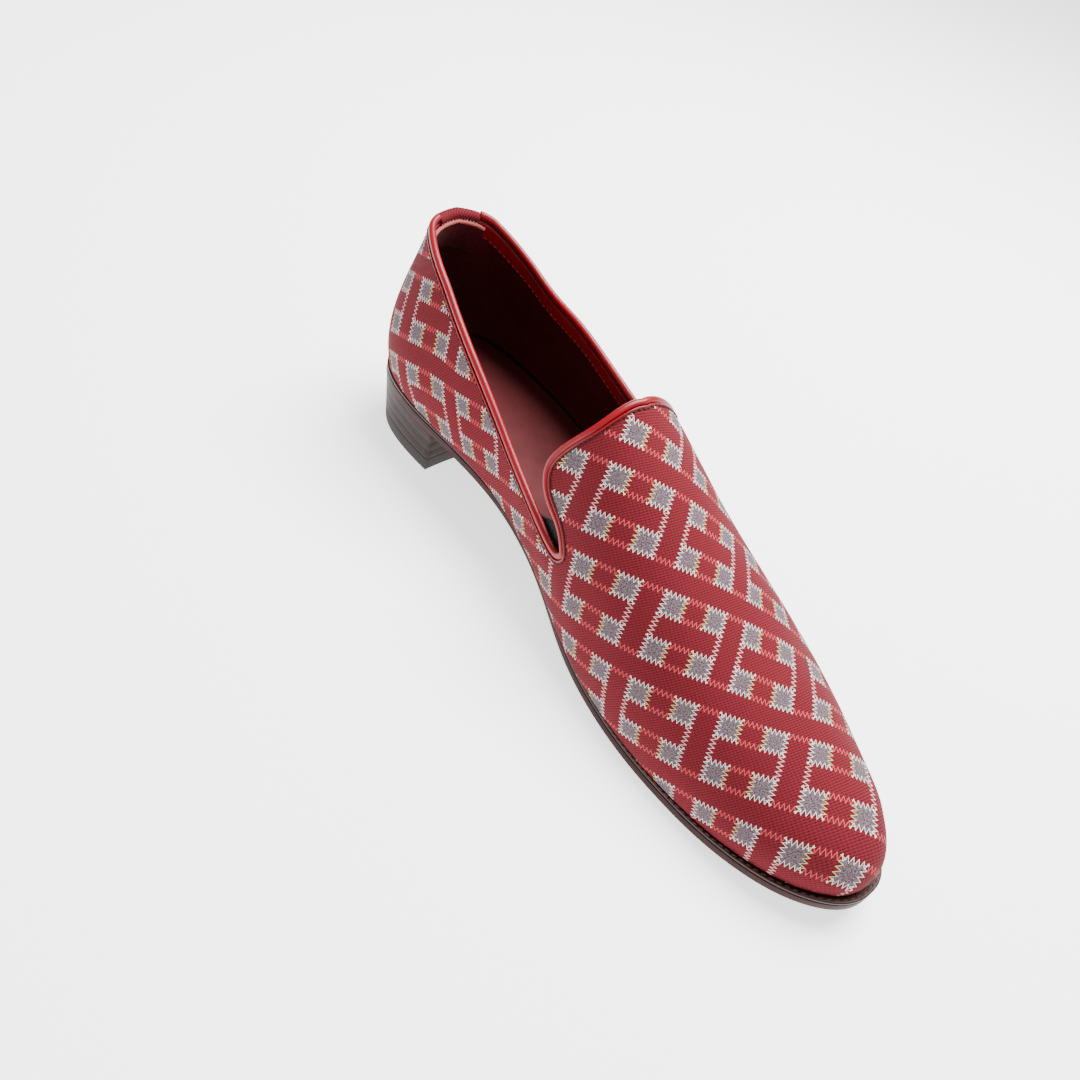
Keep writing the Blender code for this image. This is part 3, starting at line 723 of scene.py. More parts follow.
@dataclass
class Last:
    """The shoe's last: ribs leave the feather edge, bulge outward and end on its upper line.

    Ribs are counted from 0 at the heel back, along the inner side to 13 at the toe and back along the
    outer side. A share runs from 0 at a rib's foot to 1 at its end. The upper line runs from 0 at the
    heel back to 1 on the toe. The tables hold shares of the named lengths, and are those of the CAD.
    """

    length: float = 0.294
    width: float = 0.0875
    instep: float = 0.075
    heel: float = 0.0245
    spring: float = 0.0095
    outsole: float = 0.0028
    welt: float = 0.0014
    breast: float = 0.208
    waist: float = 0.20
    flat: tuple[float, float] = (0.625, 0.722)
    seat: float = 0.1
    seat_past: float = 0.04
    spring_power: float = 1.8
    crown: tuple[float, float] = (0.58, 0.70)
    rib_columns: tuple[str, ...] = (
        "along_inner", "across_inner", "bulge_inner", "edge_inner",
        "along_outer", "across_outer", "bulge_outer", "edge_outer",
        "rise", "top", "reach", "drop",
    )
    ribs: tuple = (
        (0.014, 0.000, 0.085, 0.008, 0.014, 0.000, 0.085, 0.008, 0.300, 0.00, 0.050, 0.35),
        (0.052, 0.284, 0.078, 0.008, 0.052, 0.260, 0.078, 0.010, 0.300, 0.10, 0.045, 0.35),
        (0.142, 0.368, 0.068, 0.004, 0.142, 0.352, 0.068, 0.012, 0.295, 0.22, 0.040, 0.35),
        (0.245, 0.340, 0.062, -0.004, 0.238, 0.368, 0.060, 0.012, 0.290, 0.34, 0.058, 0.34),
        (0.349, 0.292, 0.082, -0.016, 0.332, 0.392, 0.060, 0.012, 0.287, 0.46, 0.105, 0.30),
        (0.452, 0.312, 0.105, -0.020, 0.418, 0.428, 0.060, 0.014, 0.283, 0.58, 0.185, 0.19),
        (0.539, 0.380, 0.105, -0.012, 0.504, 0.477, 0.055, 0.018, 0.296, 0.70, 0.244, 0.05),
        (0.618, 0.430, 0.082, -0.002, 0.591, 0.518, 0.036, 0.022, 0.281, 0.78, 0.266, 0.00),
        (0.695, 0.454, 0.060, 0.004, 0.677, 0.532, 0.036, 0.024, 0.266, 0.85, 0.280, 0.00),
        (0.775, 0.446, 0.047, 0.008, 0.767, 0.476, 0.043, 0.026, 0.239, 0.91, 0.270, 0.00),
        (0.853, 0.414, 0.045, 0.014, 0.850, 0.344, 0.047, 0.028, 0.217, 0.96, 0.232, 0.00),
        (0.929, 0.330, 0.041, 0.022, 0.926, 0.175, 0.042, 0.028, 0.188, 1.00, 0.185, 0.00),
        (0.975, 0.202, 0.034, 0.028, 0.973, 0.032, 0.032, 0.028, 0.173, 1.00, 0.159, 0.00),
        (0.984, 0.084, 0.032, 0.030, 0.984, -0.077, 0.030, 0.030, 0.170, 1.00, 0.148, 0.00),
    )
    crest_columns: tuple[str, ...] = ("top", "along", "half", "centre", "height")
    crest_rows: tuple = (
        (0.00, 0.031, 0.000, 0.000, 0.869),
        (0.10, 0.054, 0.180, 0.000, 0.866),
        (0.22, 0.132, 0.254, 0.000, 0.864),
        (0.34, 0.207, 0.249, 0.000, 0.872),
        (0.46, 0.282, 0.200, 0.000, 0.908),
        (0.58, 0.351, 0.120, 0.000, 0.976),
        (0.70, 0.413, 0.000, 0.000, 1.028),
        (0.78, 0.503, 0.000, -0.026, 0.923),
        (0.85, 0.600, 0.000, -0.048, 0.780),
        (0.91, 0.698, 0.000, -0.055, 0.621),
        (0.96, 0.798, 0.000, -0.059, 0.482),
        (1.00, 0.897, 0.000, -0.067, 0.340),
    )
    topline_columns: tuple[str, ...] = ("top", "share_inner", "share_outer")
    topline_rows: tuple = (
        (0.000, 0.932, 0.932),
        (0.100, 0.905, 0.872),
        (0.200, 0.845, 0.752),
        (0.280, 0.738, 0.684),
        (0.360, 0.610, 0.645),
        (0.440, 0.456, 0.585),
        (0.520, 0.347, 0.500),
        (0.590, 0.300, 0.425),
        (0.650, 0.274, 0.370),
        (0.688, 0.283, 0.354),
        (0.706, 0.312, 0.374),
        (0.713, 0.343, 0.404),
        (0.706, 0.373, 0.435),
        (0.688, 0.396, 0.462),
        (0.662, 0.415, 0.484),
        (0.643, 0.446, 0.515),
        (0.638, 0.488, 0.532),
        (0.656, 0.544, 0.566),
        (0.690, 0.612, 0.602),
        (0.718, 0.700, 0.665),
        (0.732, 0.780, 0.755),
        (0.741, 0.880, 0.880),
        (0.744, 1.000, 1.000),
    )
    notch_feet: tuple[float, float, float] = (0.700, 0.742, 0.862)
    long: float = 2.2  # the upper line's length in lengths of a rib
    shift: np.ndarray = field(default_factory=lambda: np.zeros(3))
    period: float = field(init=False)
    tip: float = field(init=False)

    def __post_init__(self) -> None:
        """Counts the ribs and lays the last where the CAD welt is."""
        self.period = 2.0 * (len(self.ribs) - 1)
        self.tip = float(len(self.ribs) - 1)
        low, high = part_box("welt")
        ring = self.rim(np.linspace(0.0, self.period, 1601), self.sole_edge, self.welt_floor)
        middle = (ring.max(axis=0) + ring.min(axis=0)) / 2.0
        found = (np.array(low) + np.array(high)) / 2.0
        self.shift = np.array([found[0] - middle[0], found[1] - middle[1], 0.0])
        LOG.info("last laid at %s", np.round(self.shift / MM, 2))

    def slopes(self, knots: np.ndarray, values: np.ndarray, closed: bool) -> np.ndarray:
        """Slopes of a smooth cubic through the values.

        Args:
            knots: Places of the values.
            values: The values.
            closed: Whether the cubic closes on itself; if not, its ends are natural.

        Returns:
            A slope for each value.
        """
        count = len(values)
        if closed:
            knots = np.append(knots, knots[0] + self.period)
            values = np.append(values, values[0])
        steps = np.diff(knots)
        rates = np.diff(values) / steps
        system = np.zeros((count, count))
        right = np.zeros(count)
        for i in range(count):
            if not closed and i in (0, count - 1):
                system[i, i] = 2.0
                system[i, 1 if i == 0 else count - 2] = 1.0
                right[i] = 3.0 * rates[0 if i == 0 else count - 2]
                continue
            before, after = steps[i - 1], steps[i]
            system[i, (i - 1) % count] += after
            system[i, i] += 2.0 * (before + after)
            system[i, (i + 1) % count] += before
            right[i] = 3.0 * (after * rates[i - 1] + before * rates[i])
        return np.linalg.solve(system, right)

    def hermite(self, knots: np.ndarray, values: np.ndarray, slopes: np.ndarray,
                places: np.ndarray) -> np.ndarray:
        """Reads the cubic with these slopes.

        Args:
            knots: Places of the values.
            values: The values.
            slopes: A slope for each value.
            places: Where to read it, held between its ends.

        Returns:
            A value for each place.
        """
        places = np.clip(places, knots[0], knots[-1])
        index = np.clip(np.searchsorted(knots, places, side="right") - 1, 0, len(knots) - 2)
        step = knots[index + 1] - knots[index]
        u = (places - knots[index]) / step
        start = (1 + 2 * u) * (1 - u) ** 2 * values[index] + u * (1 - u) ** 2 * step * slopes[index]
        end = u * u * (3 - 2 * u) * values[index + 1] + u * u * (u - 1) * step * slopes[index + 1]
        return start + end

    def smooth(self, knots: np.ndarray, values: np.ndarray, places: np.ndarray) -> np.ndarray:
        """Reads a natural cubic through the values."""
        return self.hermite(knots, values, self.slopes(knots, values, False), places)

    def around(self, values: np.ndarray, places: np.ndarray) -> np.ndarray:
        """Reads a closed cubic round the shoe.

        Args:
            values: One value for each rib.
            places: Ribs to read it at.

        Returns:
            A value for each place.
        """
        knots = np.arange(len(values) + 1.0)
        slopes = self.slopes(knots[:-1], values, True)
        values, slopes = np.append(values, values[0]), np.append(slopes, slopes[0])
        return self.hermite(knots, values, slopes, places % self.period)

    def monotone(self, knots: np.ndarray, values: np.ndarray, places: np.ndarray) -> np.ndarray:
        """Reads a cubic that never runs back between two values.

        Args:
            knots: Places of the values.
            values: The values.
            places: Where to read it.

        Returns:
            A value for each place.
        """
        rates = np.diff(values) / np.diff(knots)
        slopes = np.zeros(len(values))
        for i in range(1, len(values) - 1):
            if rates[i - 1] * rates[i] > 0:
                slopes[i] = 2.0 * rates[i - 1] * rates[i] / (rates[i - 1] + rates[i])
        return self.hermite(knots, values, slopes, places)

    def both_sides(self, inner: str, outer: str | None = None, sign: float = 1.0) -> np.ndarray:
        """Joins two columns of the ribs' table round the shoe.

        Args:
            inner: Column of the inner side, from the heel back to the toe.
            outer: Column of the outer side, back to the heel; if not given, the inner one again.
            sign: What the inner side is multiplied by.

        Returns:
            A value for each rib.
        """
        there = sign * column(self.ribs, self.rib_columns, inner)
        back = column(self.ribs, self.rib_columns, outer or inner)
        return np.concatenate([there, back[-2:0:-1]])

    def mirrored(self, knots: np.ndarray, values: np.ndarray, odd: bool) -> tuple[np.ndarray, np.ndarray]:
        """Returns knots and values continued past the heel back, so that both sides meet smoothly."""
        before = -values[:0:-1] if odd else values[:0:-1]
        return np.concatenate([-knots[:0:-1], knots]), np.concatenate([before, values])

    def folded(self, ribs: np.ndarray) -> np.ndarray:
        """Returns each rib's number counted from the heel back on its own side."""
        return np.abs((np.asarray(ribs, dtype=float) + self.tip) % self.period - self.tip)

    def rib_top(self, ribs: np.ndarray) -> np.ndarray:
        """Finds where ribs end on the upper line.

        Args:
            ribs: Rib numbers.

        Returns:
            A place on the upper line for each, 0 at the heel back and 1 on the toe.
        """
        tops = column(self.ribs, self.rib_columns, "top")
        knots, values = self.mirrored(np.arange(self.tip + 1.0), tops, True)
        return self.monotone(knots, values, self.folded(ribs))

    def crest(self, name: str, top: np.ndarray) -> np.ndarray:
        """Reads a column of the upper line's table.

        Args:
            name: The column.
            top: Places on the upper line.

        Returns:
            A value for each place.
        """
        tops = column(self.crest_rows, self.crest_columns, "top")
        values = column(self.crest_rows, self.crest_columns, name)
        knots, values = self.mirrored(tops, values, name == "half")
        return (self.monotone if name == "half" else self.smooth)(knots, values, top)

    def crest_height(self, top: np.ndarray) -> np.ndarray:
        """Returns the upper line's height above the floor."""
        low = self.feather_height(self.crest("along", top) * self.length)
        return self.crest("height", top) * self.instep + low

    def rib_at_top(self, top: np.ndarray, side: Side) -> np.ndarray:
        """Finds the ribs that end at places on the upper line.

        Args:
            top: The places.
            side: Which side of the shoe.

        Returns:
            A rib number for each place.
        """
        ribs = np.linspace(0.0, self.tip - 2.0, 600)
        rib = np.interp(top, self.rib_top(ribs), ribs)
        return self.period - rib if side is Side.OUTER else rib

    def ground(self, along: np.ndarray) -> np.ndarray:
        """Height of the outsole's underside: flat under the ball, up to the heel and up at the toe.

        Args:
            along: Distances from the heel back.

        Returns:
            A height for each distance.
        """
        share = np.asarray(along, dtype=float) / self.length
        climb = np.clip((self.flat[0] - share) / (self.flat[0] - self.waist), 0.0, 1.0)
        climb = (1.0 - self.seat) * climb ** 2 * (3.0 - 2.0 * climb)
        seat = self.seat * np.clip(1.0 - share / (self.breast + self.seat_past), 0.0, 1.0) ** 2
        spring = np.clip((share - self.flat[1]) / (1.0 - self.flat[1]), 0.0, 1.1) ** self.spring_power
        return self.heel * (climb + seat) + self.spring * spring

    def welt_floor(self, along: np.ndarray) -> np.ndarray:
        """Returns the height of the welt's underside."""
        return self.ground(along) + self.outsole + GAP

    def feather_height(self, along: np.ndarray) -> np.ndarray:
        """Returns the height of the upper's lower edge."""
        return self.welt_floor(along) + self.welt + GAP

    def feather(self, ribs: np.ndarray) -> tuple[np.ndarray, np.ndarray, np.ndarray, np.ndarray]:
        """Follows the feather edge.

        Args:
            ribs: Rib numbers.

        Returns:
            Distance from the heel back, side place, and the outward direction along and across.
        """
        along_values = self.both_sides("along_inner", "along_outer") * self.length
        across_values = self.both_sides("across_inner", "across_outer", -1.0) * self.width
        along = self.around(along_values, ribs)
        across = self.around(across_values, ribs)
        run = self.around(along_values, ribs + NUDGE) - self.around(along_values, ribs - NUDGE)
        turn = self.around(across_values, ribs + NUDGE) - self.around(across_values, ribs - NUDGE)
        size = np.hypot(run, turn)
        return along, across, turn / size, -run / size

    def sole_edge(self, ribs: np.ndarray) -> np.ndarray:
        """Returns how far the sole stands out past the feather edge."""
        return self.around(self.both_sides("edge_inner", "edge_outer"), ribs) * self.width

    def rim(self, ribs: np.ndarray, offset: Offset, height: Height) -> np.ndarray:
        """Points round the shoe at an offset from the feather edge.

        Args:
            ribs: Rib numbers.
            offset: A distance outward, or a function of the ribs.
            height: A function of the distance from the heel back.

        Returns:
            Rows of x, y, z.
        """
        along, across, out_along, out_across = self.feather(ribs)
        spread = offset(ribs) if callable(offset) else offset
        place = along + out_along * spread
        points = np.stack([across + out_across * spread, self.length / 2.0 - place, height(place)], axis=1)
        return points + self.shift

    def point(self, ribs: np.ndarray, shares: np.ndarray) -> np.ndarray:
        """Points of the last's surface.

        Args:
            ribs: Rib numbers.
            shares: How far up each rib, 0 to 1.

        Returns:
            Rows of x, y, z.
        """
        ribs = np.asarray(ribs, dtype=float)
        shares = np.asarray(shares, dtype=float)[:, None]
        along, across, out_along, out_across = self.feather(ribs)
        top = self.rib_top(ribs)
        side = np.where(ribs % self.period < self.tip, -1.0, 1.0)
        end_across = (self.crest("centre", top) + side * self.crest("half", top)) * self.width
        end = np.stack([end_across, self.crest("along", top) * self.length, self.crest_height(top)], axis=1)
        start = np.stack([across, along, self.feather_height(along)], axis=1)
        out = np.stack([out_across, out_along, np.zeros(len(ribs))], axis=1)
        up = np.array([[0.0, 0.0, 1.0]])
        bulge = self.around(self.both_sides("bulge_inner", "bulge_outer"), ribs)[:, None] * self.width
        rise = self.around(self.both_sides("rise"), ribs)[:, None] * self.instep
        reach = self.around(self.both_sides("reach"), ribs)[:, None] * self.width
        drops = column(self.ribs, self.rib_columns, "drop")
        knots, drops = self.mirrored(np.arange(self.tip + 1.0), drops, False)
        drop = self.monotone(knots, drops, self.folded(ribs)) * self.instep
        ahead = np.minimum(top + NUDGE, 1.0)
        fall = self.crest_height(ahead) - self.crest_height(ahead - 2 * NUDGE)
        run = (self.crest("along", ahead) - self.crest("along", ahead - 2 * NUDGE)) * self.length
        onset = np.clip((top - self.crown[0]) / (self.crown[1] - self.crown[0]), 0.0, 1.0)
        slope = onset * fall / np.maximum(run, 1e-6)
        lower = start + bulge * out + rise * up
        upper = end + reach * out + (slope[:, None] * out[:, 1:2] * reach - drop[:, None]) * up
        rest = 1.0 - shares
        point = rest ** 3 * start + 3 * rest ** 2 * shares * lower
        point = point + 3 * rest * shares ** 2 * upper + shares ** 3 * end
        point[:, 1] = self.length / 2.0 - point[:, 1]
        return point + self.shift

    def normal(self, ribs: np.ndarray, shares: np.ndarray) -> np.ndarray:
        """Finds the surface's outward direction.

        Args:
            ribs: Rib numbers.
            shares: How far up each rib, 0 to 1.

        Returns:
            A direction of length one for each.
        """
        ribs = np.asarray(ribs, dtype=float)
        below = np.clip(np.asarray(shares, dtype=float), 0.0, 1.0 - 2 * NUDGE)
        round_it = self.point(ribs + NUDGE, below) - self.point(ribs - NUDGE, below)
        up_it = self.point(ribs, below + NUDGE) - self.point(ribs, below)
        return unit(np.cross(round_it, up_it))

    def topline(self, side: Side, steps: int) -> tuple[np.ndarray, np.ndarray]:
        """Follows the topline of one side, from the heel back to the ridge of the vamp.

        Args:
            side: Which side.
            steps: Number of steps, crowded where the line turns.

        Returns:
            Ribs and shares.
        """
        tops = column(self.topline_rows, self.topline_columns, "top")
        name = "share_outer" if side is Side.OUTER else "share_inner"
        shares = column(self.topline_rows, self.topline_columns, name)
        knots = np.concatenate([[0.0], np.cumsum(np.hypot(np.diff(tops) * self.long, np.diff(shares)))])
        fine = np.linspace(0.0, knots[-1], 1200)
        top = np.clip(self.smooth(knots, tops, fine), 0.0, 1.0)
        share = np.clip(self.smooth(knots, shares, fine), 0.0, 1.0)
        ribs = self.rib_at_top(top, side)
        ribs[0] = self.period if side is Side.OUTER else 0.0
        heading = np.arctan2(np.gradient(share), np.gradient(top) * self.long)
        turning = np.gradient(np.unwrap(heading))
        length = along_path(self.point(ribs, share))
        near_back = 1.0 + 1.5 * np.exp(-((length / 0.022) ** 2))
        weight = np.gradient(length) * near_back + 0.005 * np.abs(turning)
        travel = np.concatenate([[0.0], np.cumsum(0.5 * (weight[1:] + weight[:-1]))])
        wanted = np.linspace(0.0, travel[-1], steps + 1)
        return np.interp(wanted, travel, ribs), np.interp(wanted, travel, share)

    def whole_topline(self, steps: int) -> tuple[np.ndarray, np.ndarray]:
        """Follows the topline from the heel back round the inner side, and back on the outer side.

        Args:
            steps: Number of steps on each side.

        Returns:
            Ribs and shares.
        """
        inner, outer = self.topline(Side.INNER, steps), self.topline(Side.OUTER, steps)
        ribs, shares = (np.concatenate([there, back[::-1][1:]]) for there, back in zip(inner, outer))
        return ribs, shares

    def wall_grid(self, steps: tuple[int, int, int, int]) -> tuple[np.ndarray, np.ndarray]:
        """Ribs and shares of the whole upper, a column of the wall for each row.

        Args:
            steps: Counts along the topline, along the vamp's ridge, round the toe and up the wall.

        Returns:
            Two arrays of columns by rows. Past the notch tip the columns climb and then bend back.
        """
        along, ridge, toe, high = steps
        climb = np.linspace(0.0, 1.0, high + 1)[None, :]
        throat = self.topline_rows[-1][0]
        sides = {}
        for side in Side:
            ribs, shares = self.topline(side, along)
            tops = self.rib_top(ribs)
            count = len(tops)
            step = count / 39.0  # the distances below were chosen on 39 columns
            tip = int(np.argmin(np.where(tops > 0.6, shares, 1.0)))
            corner = tip + int(np.argmin(tops[tip:count - int(3 * step)]))
            start = int(np.searchsorted(tops[:tip], 0.50))
            foot = tops.copy()
            marks = [start, tip, tip + 3 * step, count - 1]
            foot[start:] = np.interp(np.arange(start, count), marks, [tops[start], *self.notch_feet])
            bend = np.clip((1.0 - shares) / (1.0 - shares[corner]), 0.0, 1.0)
            bend *= np.clip((np.arange(count) - tip + 2 * step) / (4.0 * step), 0.0, 1.0)
            vamp = np.linspace(throat, 1.0, ridge + 1)[1:]
            vamp_foot = self.notch_feet[-1] + (vamp - throat) * (1.0 - self.notch_feet[-1]) / (1.0 - throat)
            foot = np.concatenate([foot, vamp_foot])
            width = int(round(3 * step)) | 1
            padded = np.pad(foot, width // 2, mode="reflect", reflect_type="odd")
            foot = self.rib_at_top(np.convolve(padded, np.ones(width) / width, mode="valid"), side)
            foot[0] = ribs[0]
            ribs = np.concatenate([ribs, self.rib_at_top(vamp, side)])[:, None]
            shares = np.concatenate([shares, np.ones(len(vamp))])[:, None]
            bend = np.concatenate([bend, np.zeros(len(vamp))])[:, None]
            foot = foot[:, None]
            over = bend * foot + (1.0 - bend) * (foot + ribs) / 2.0
            lifts = (1.0 + bend) * shares / 2.0
            first, second, third = (1.0 - climb) ** 2, 2.0 * climb * (1.0 - climb), climb ** 2
            sides[side] = (first * foot + second * over + third * ribs, second * lifts + third * shares)
        inner, outer = sides[Side.INNER], sides[Side.OUTER]
        round_toe = np.linspace(inner[0][-1, 0], outer[0][-1, 0], toe + 1)[1:-1, None]
        return (
            np.vstack([inner[0], round_toe + 0.0 * climb, outer[0][::-1]]),
            np.vstack([inner[1], climb + 0.0 * round_toe, outer[1][::-1]]),
        )

    def surface(self, ribs: np.ndarray, shares: np.ndarray, out: float | np.ndarray = 0.0) -> np.ndarray:
        """Points of a grid on the last, pushed outward.

        Args:
            ribs: Array of columns by rows.
            shares: Array of the same shape.
            out: Distance outward, a number or an array of the same shape.

        Returns:
            Array of columns by rows by 3.
        """
        flat_ribs, flat_shares = ribs.ravel(), shares.ravel()
        push = np.broadcast_to(out, ribs.shape).ravel()[:, None]
        points = self.point(flat_ribs, flat_shares) + self.normal(flat_ribs, flat_shares) * push
        return points.reshape(*ribs.shape, 3)

    def rim_frame(self, ribs: np.ndarray, shares: np.ndarray) -> tuple[np.ndarray, np.ndarray, np.ndarray]:
        """Frame along a line on the last.

        Args:
            ribs: Ribs of the line.
            shares: Shares of the line.

        Returns:
            Points, the outward direction, and the direction out past the line's left side.
        """
        points = self.point(ribs, shares)
        outward = self.normal(ribs, shares)
        seam = np.where(shares > 0.9985)[0]
        if len(seam):
            around_it = [max(seam[0] - 1, 0), min(seam[-1] + 1, len(ribs) - 1)]
            outward[seam] = unit(outward[around_it].sum(axis=0))
        travel = unit(np.gradient(points, axis=0))
        return points, outward, unit(np.cross(outward, travel))


@dataclass
class Upper:
    """The whole-cut upper: cloth outside, lining inside, and the facing band under the topline."""

    last: Last
    wall: float = 0.002
    cloth: float = 0.0009
    facing: float = 0.0075
    edge_reach: tuple[float, float] = (0.030, 0.0160)  # the raw edge's length on the inner and outer side
    grip: float = 0.016
    raw_radius: float = 0.0008
    raw_depth: tuple[float, float] = (0.0020, 0.0012)  # at the tab, and what is added away from it
    raw_inset: tuple[float, float] = (0.0015, -0.0004)  # the same, in from the wall
    beside_tab: tuple[float, float] = (0.011, 0.02)  # where the tab ends, and how far the change goes
    skin: float = 0.0005  # thickness of facing and grip
    apart: float = 0.0001  # between two layers of the wall
    pleat: float = 0.10  # in millimetres
    steps: tuple[int, int, int, int] = (190, 60, 48, 44)
    rim_steps: int = 260
    ease: float = 0.02  # how far the squares may miss a mark that disagrees with its neighbours
    # Middles of squares that were read: which square, and where it lies on the last.
    mark_columns: tuple[str, ...] = ("square_u", "square_v", "rib", "share")
    marks: tuple = (
        (1, 1, 7.65, 0.733),
        (-7, 0, 1.60, 0.133),
        (7, 6, 12.00, 0.342),
        (2, -1, 18.70, 0.792),
        (-2, 2, 4.50, 0.108),
        (-6, -2, 1.80, 0.717),
        (7, 3, 16.00, 0.375),
        (4, 6, 9.75, 0.133),
        (5, 1, 17.25, 0.650),
        (0, -1, 6.75, 0.892),
        (5, 3, 9.95, 0.983),
        (-3, 0, 3.75, 0.408),
        (-5, 1, 2.90, 0.075),
        (3, 4, 9.00, 0.467),
        (0, 3, 6.55, 0.267),
        (2, 5, 8.20, 0.133),
        (-4, -1, 3.05, 0.550),
        (-7, -2, 1.20, 0.608),
        (-1, 0, 6.00, 0.575),
        (7, 4, 15.40, 0.683),
        (-5, -1, 2.55, 0.558),
        (-6, 1, 2.40, 0.033),
        (-6, 0, 2.10, 0.208),
        (2, 2, 8.35, 0.717),
    )
    # Rows of rib, share, length in ribs, length in shares, lean and depth in millimetres.
    creases: tuple = (
        (7.1, 0.30, 0.50, 0.10, 0.0, -0.35),
        (6.2, 0.22, 0.60, 0.07, 0.0, 0.30),
        (5.2, 0.16, 0.90, 0.05, 0.0, -0.25),
        (7.9, 0.50, 0.25, 0.22, 0.3, -0.20),
        (3.6, 0.30, 0.60, 0.08, 0.1, -0.25),
        (2.0, 0.45, 0.35, 0.20, 0.0, -0.20),
        (18.4, 0.35, 0.40, 0.14, 0.0, -0.30),
        (20.6, 0.25, 0.80, 0.06, 0.0, 0.25),
        (23.4, 0.40, 0.50, 0.16, 0.0, -0.25),
    )

    def relief(self, ribs: np.ndarray, shares: np.ndarray) -> np.ndarray:
        """Height of the soft creases and of the small lasting pleats at the toe.

        Args:
            ribs: Array of rib numbers.
            shares: Array of shares of the same shape.

        Returns:
            Distance outward in metres.
        """
        total = np.zeros(ribs.shape)
        for rib, share, long_ribs, long_shares, lean, depth in self.creases:
            across = (ribs - rib - lean * (shares - share)) / long_ribs
            up = (shares - share) / long_shares
            total += depth * MM * np.exp(-across ** 2 - up ** 2)
        from_toe = (self.last.folded(ribs) - self.last.tip) / 3.0
        toe = np.exp(-from_toe ** 2) * np.exp(-((shares - 0.02) / 0.035) ** 2)
        pleats = np.sin(ribs * 17.0) + 0.6 * np.sin(ribs * 29.0 + 1.3)
        return total + self.pleat * MM * toe * pleats

    def flatten(self, thing: bpy.types.Object, back: np.ndarray) -> tuple[np.ndarray, np.ndarray]:
        """Opens the cloth out flat with Blender's unwrap, cut up the back seam.

        Args:
            thing: The outer sheet.
            back: Points of the back seam.

        Returns:
            The vertex of each corner of a face, and each corner's flat place in decimetres.
        """
        mesh = thing.data
        spots = np.array([vertex.co for vertex in mesh.vertices])
        on_seam = np.linalg.norm(spots[:, None] - back[None], axis=-1).min(axis=1) < 1e-5
        for edge in mesh.edges:
            edge.use_seam = bool(on_seam[edge.vertices[0]] and on_seam[edge.vertices[1]])
        bpy.context.view_layer.objects.active = thing
        thing.select_set(True)
        bpy.ops.object.mode_set(mode="EDIT")
        bpy.ops.mesh.select_all(action="SELECT")
        bpy.ops.uv.unwrap(method="ANGLE_BASED", margin=0.0)
        bpy.ops.object.mode_set(mode="OBJECT")
        thing.select_set(False)
        corner = np.array([loop.vertex_index for loop in mesh.loops])
        flat = np.array([place.vector for place in mesh.uv_layers["cloth"].uv])
        step = [(face.loop_start, face.loop_start + 1) for face in mesh.polygons]
        first, second = np.array(step).T
        real = np.linalg.norm(spots[corner[first]] - spots[corner[second]], axis=1)
        drawn = np.linalg.norm(flat[first] - flat[second], axis=1)
        return corner, (flat - flat.mean(axis=0)) * float(np.median(real / np.maximum(drawn, 1e-9))) * 10.0

    def chart_cloth(self, thing: bpy.types.Object, back: np.ndarray) -> None:
        """Counts the check's squares over the cloth, from the marks that the photograph shows.

        Args:
            thing: The outer sheet, whose cloth map is written.
            back: Points of the back seam.
        """
        corner, flat = self.flatten(thing, back)
        spots = np.array([vertex.co for vertex in thing.data.vertices])[corner]
        wanted_u, wanted_v, ribs, shares = (
            column(self.marks, self.mark_columns, name) for name in self.mark_columns
        )
        known = []
        for spot in self.last.point(ribs, shares):
            far = np.linalg.norm(spots - spot, axis=1)
            near = np.argsort(far)[:12]
            share = 1.0 / (far[near] + 1e-6)
            known.append((flat[near] * share[:, None]).sum(axis=0) / share.sum())
        known = np.array(known)
        count = len(known)
        spread = np.linalg.norm(known[:, None] - known[None], axis=-1) - self.ease * np.eye(count)
        plane = np.hstack([np.ones((count, 1)), known])
        system = np.block([[spread, plane], [plane.T, np.zeros((3, 3))]])
        wanted = np.stack([wanted_u, wanted_v], axis=1)
        solved = np.linalg.solve(system, np.vstack([wanted, np.zeros((3, 2))]))
        spread = np.linalg.norm(flat[:, None] - known[None], axis=-1)
        squares = np.hstack([spread, np.ones((len(flat), 1)), flat]) @ solved
        thing.data.uv_layers["cloth"].uv.foreach_set("vector", squares.astype(np.float32).ravel())

    def build(self, cloth: WovenCheck, lining: Leather, facing: Leather, suede: Suede, grip: Suede) -> None:
        """Builds the cloth, the lining, the facing band and the raw suede edge.

        Args:
            cloth: Finish of the outside.
            lining: Finish of the inside.
            facing: Finish of the band under the topline.
            suede: Finish of the raw edge at the heel.
            grip: Finish of the suede inside the heel.
        """
        ribs, shares = self.last.wall_grid(self.steps)
        middle = Vector((*self.last.shift[:2], 0.5 * self.last.instep))
        outside = self.last.surface(ribs, shares, self.relief(ribs, shares))
        sheet = drape("upper_cloth", outside, hug=middle)
        self.chart_cloth(sheet, outside[0])
        thicken(sheet, self.cloth, Grow.INWARD)
        wear(sheet, cloth, "upper", "upper")
        inside = self.last.surface(ribs, shares, -self.cloth - self.apart)
        skin = drape("upper_lining", inside, hug=middle)
        thicken(skin, self.wall - self.cloth - self.apart, Grow.INWARD)
        wear(skin, lining, "upper")
        self.build_facing(facing)
        self.build_raw_edge(suede, grip)

    def build_facing(self, facing: Leather) -> None:
        """Builds the smooth leather band inside the topline.

        Args:
            facing: Its finish.
        """
        points, outward, beyond = self.last.rim_frame(*self.last.whole_topline(self.rim_steps))
        inside = points - outward * (self.wall + self.apart)
        rows = [inside - beyond * depth for depth in np.linspace(2.0 * self.apart, self.facing, 8)]
        band = drape("facing_band", np.stack(rows, axis=1), hug=Vector((*self.last.shift[:2], 0.03)))
        thicken(band, self.skin, Grow.INWARD)
        wear(band, facing, "upper")

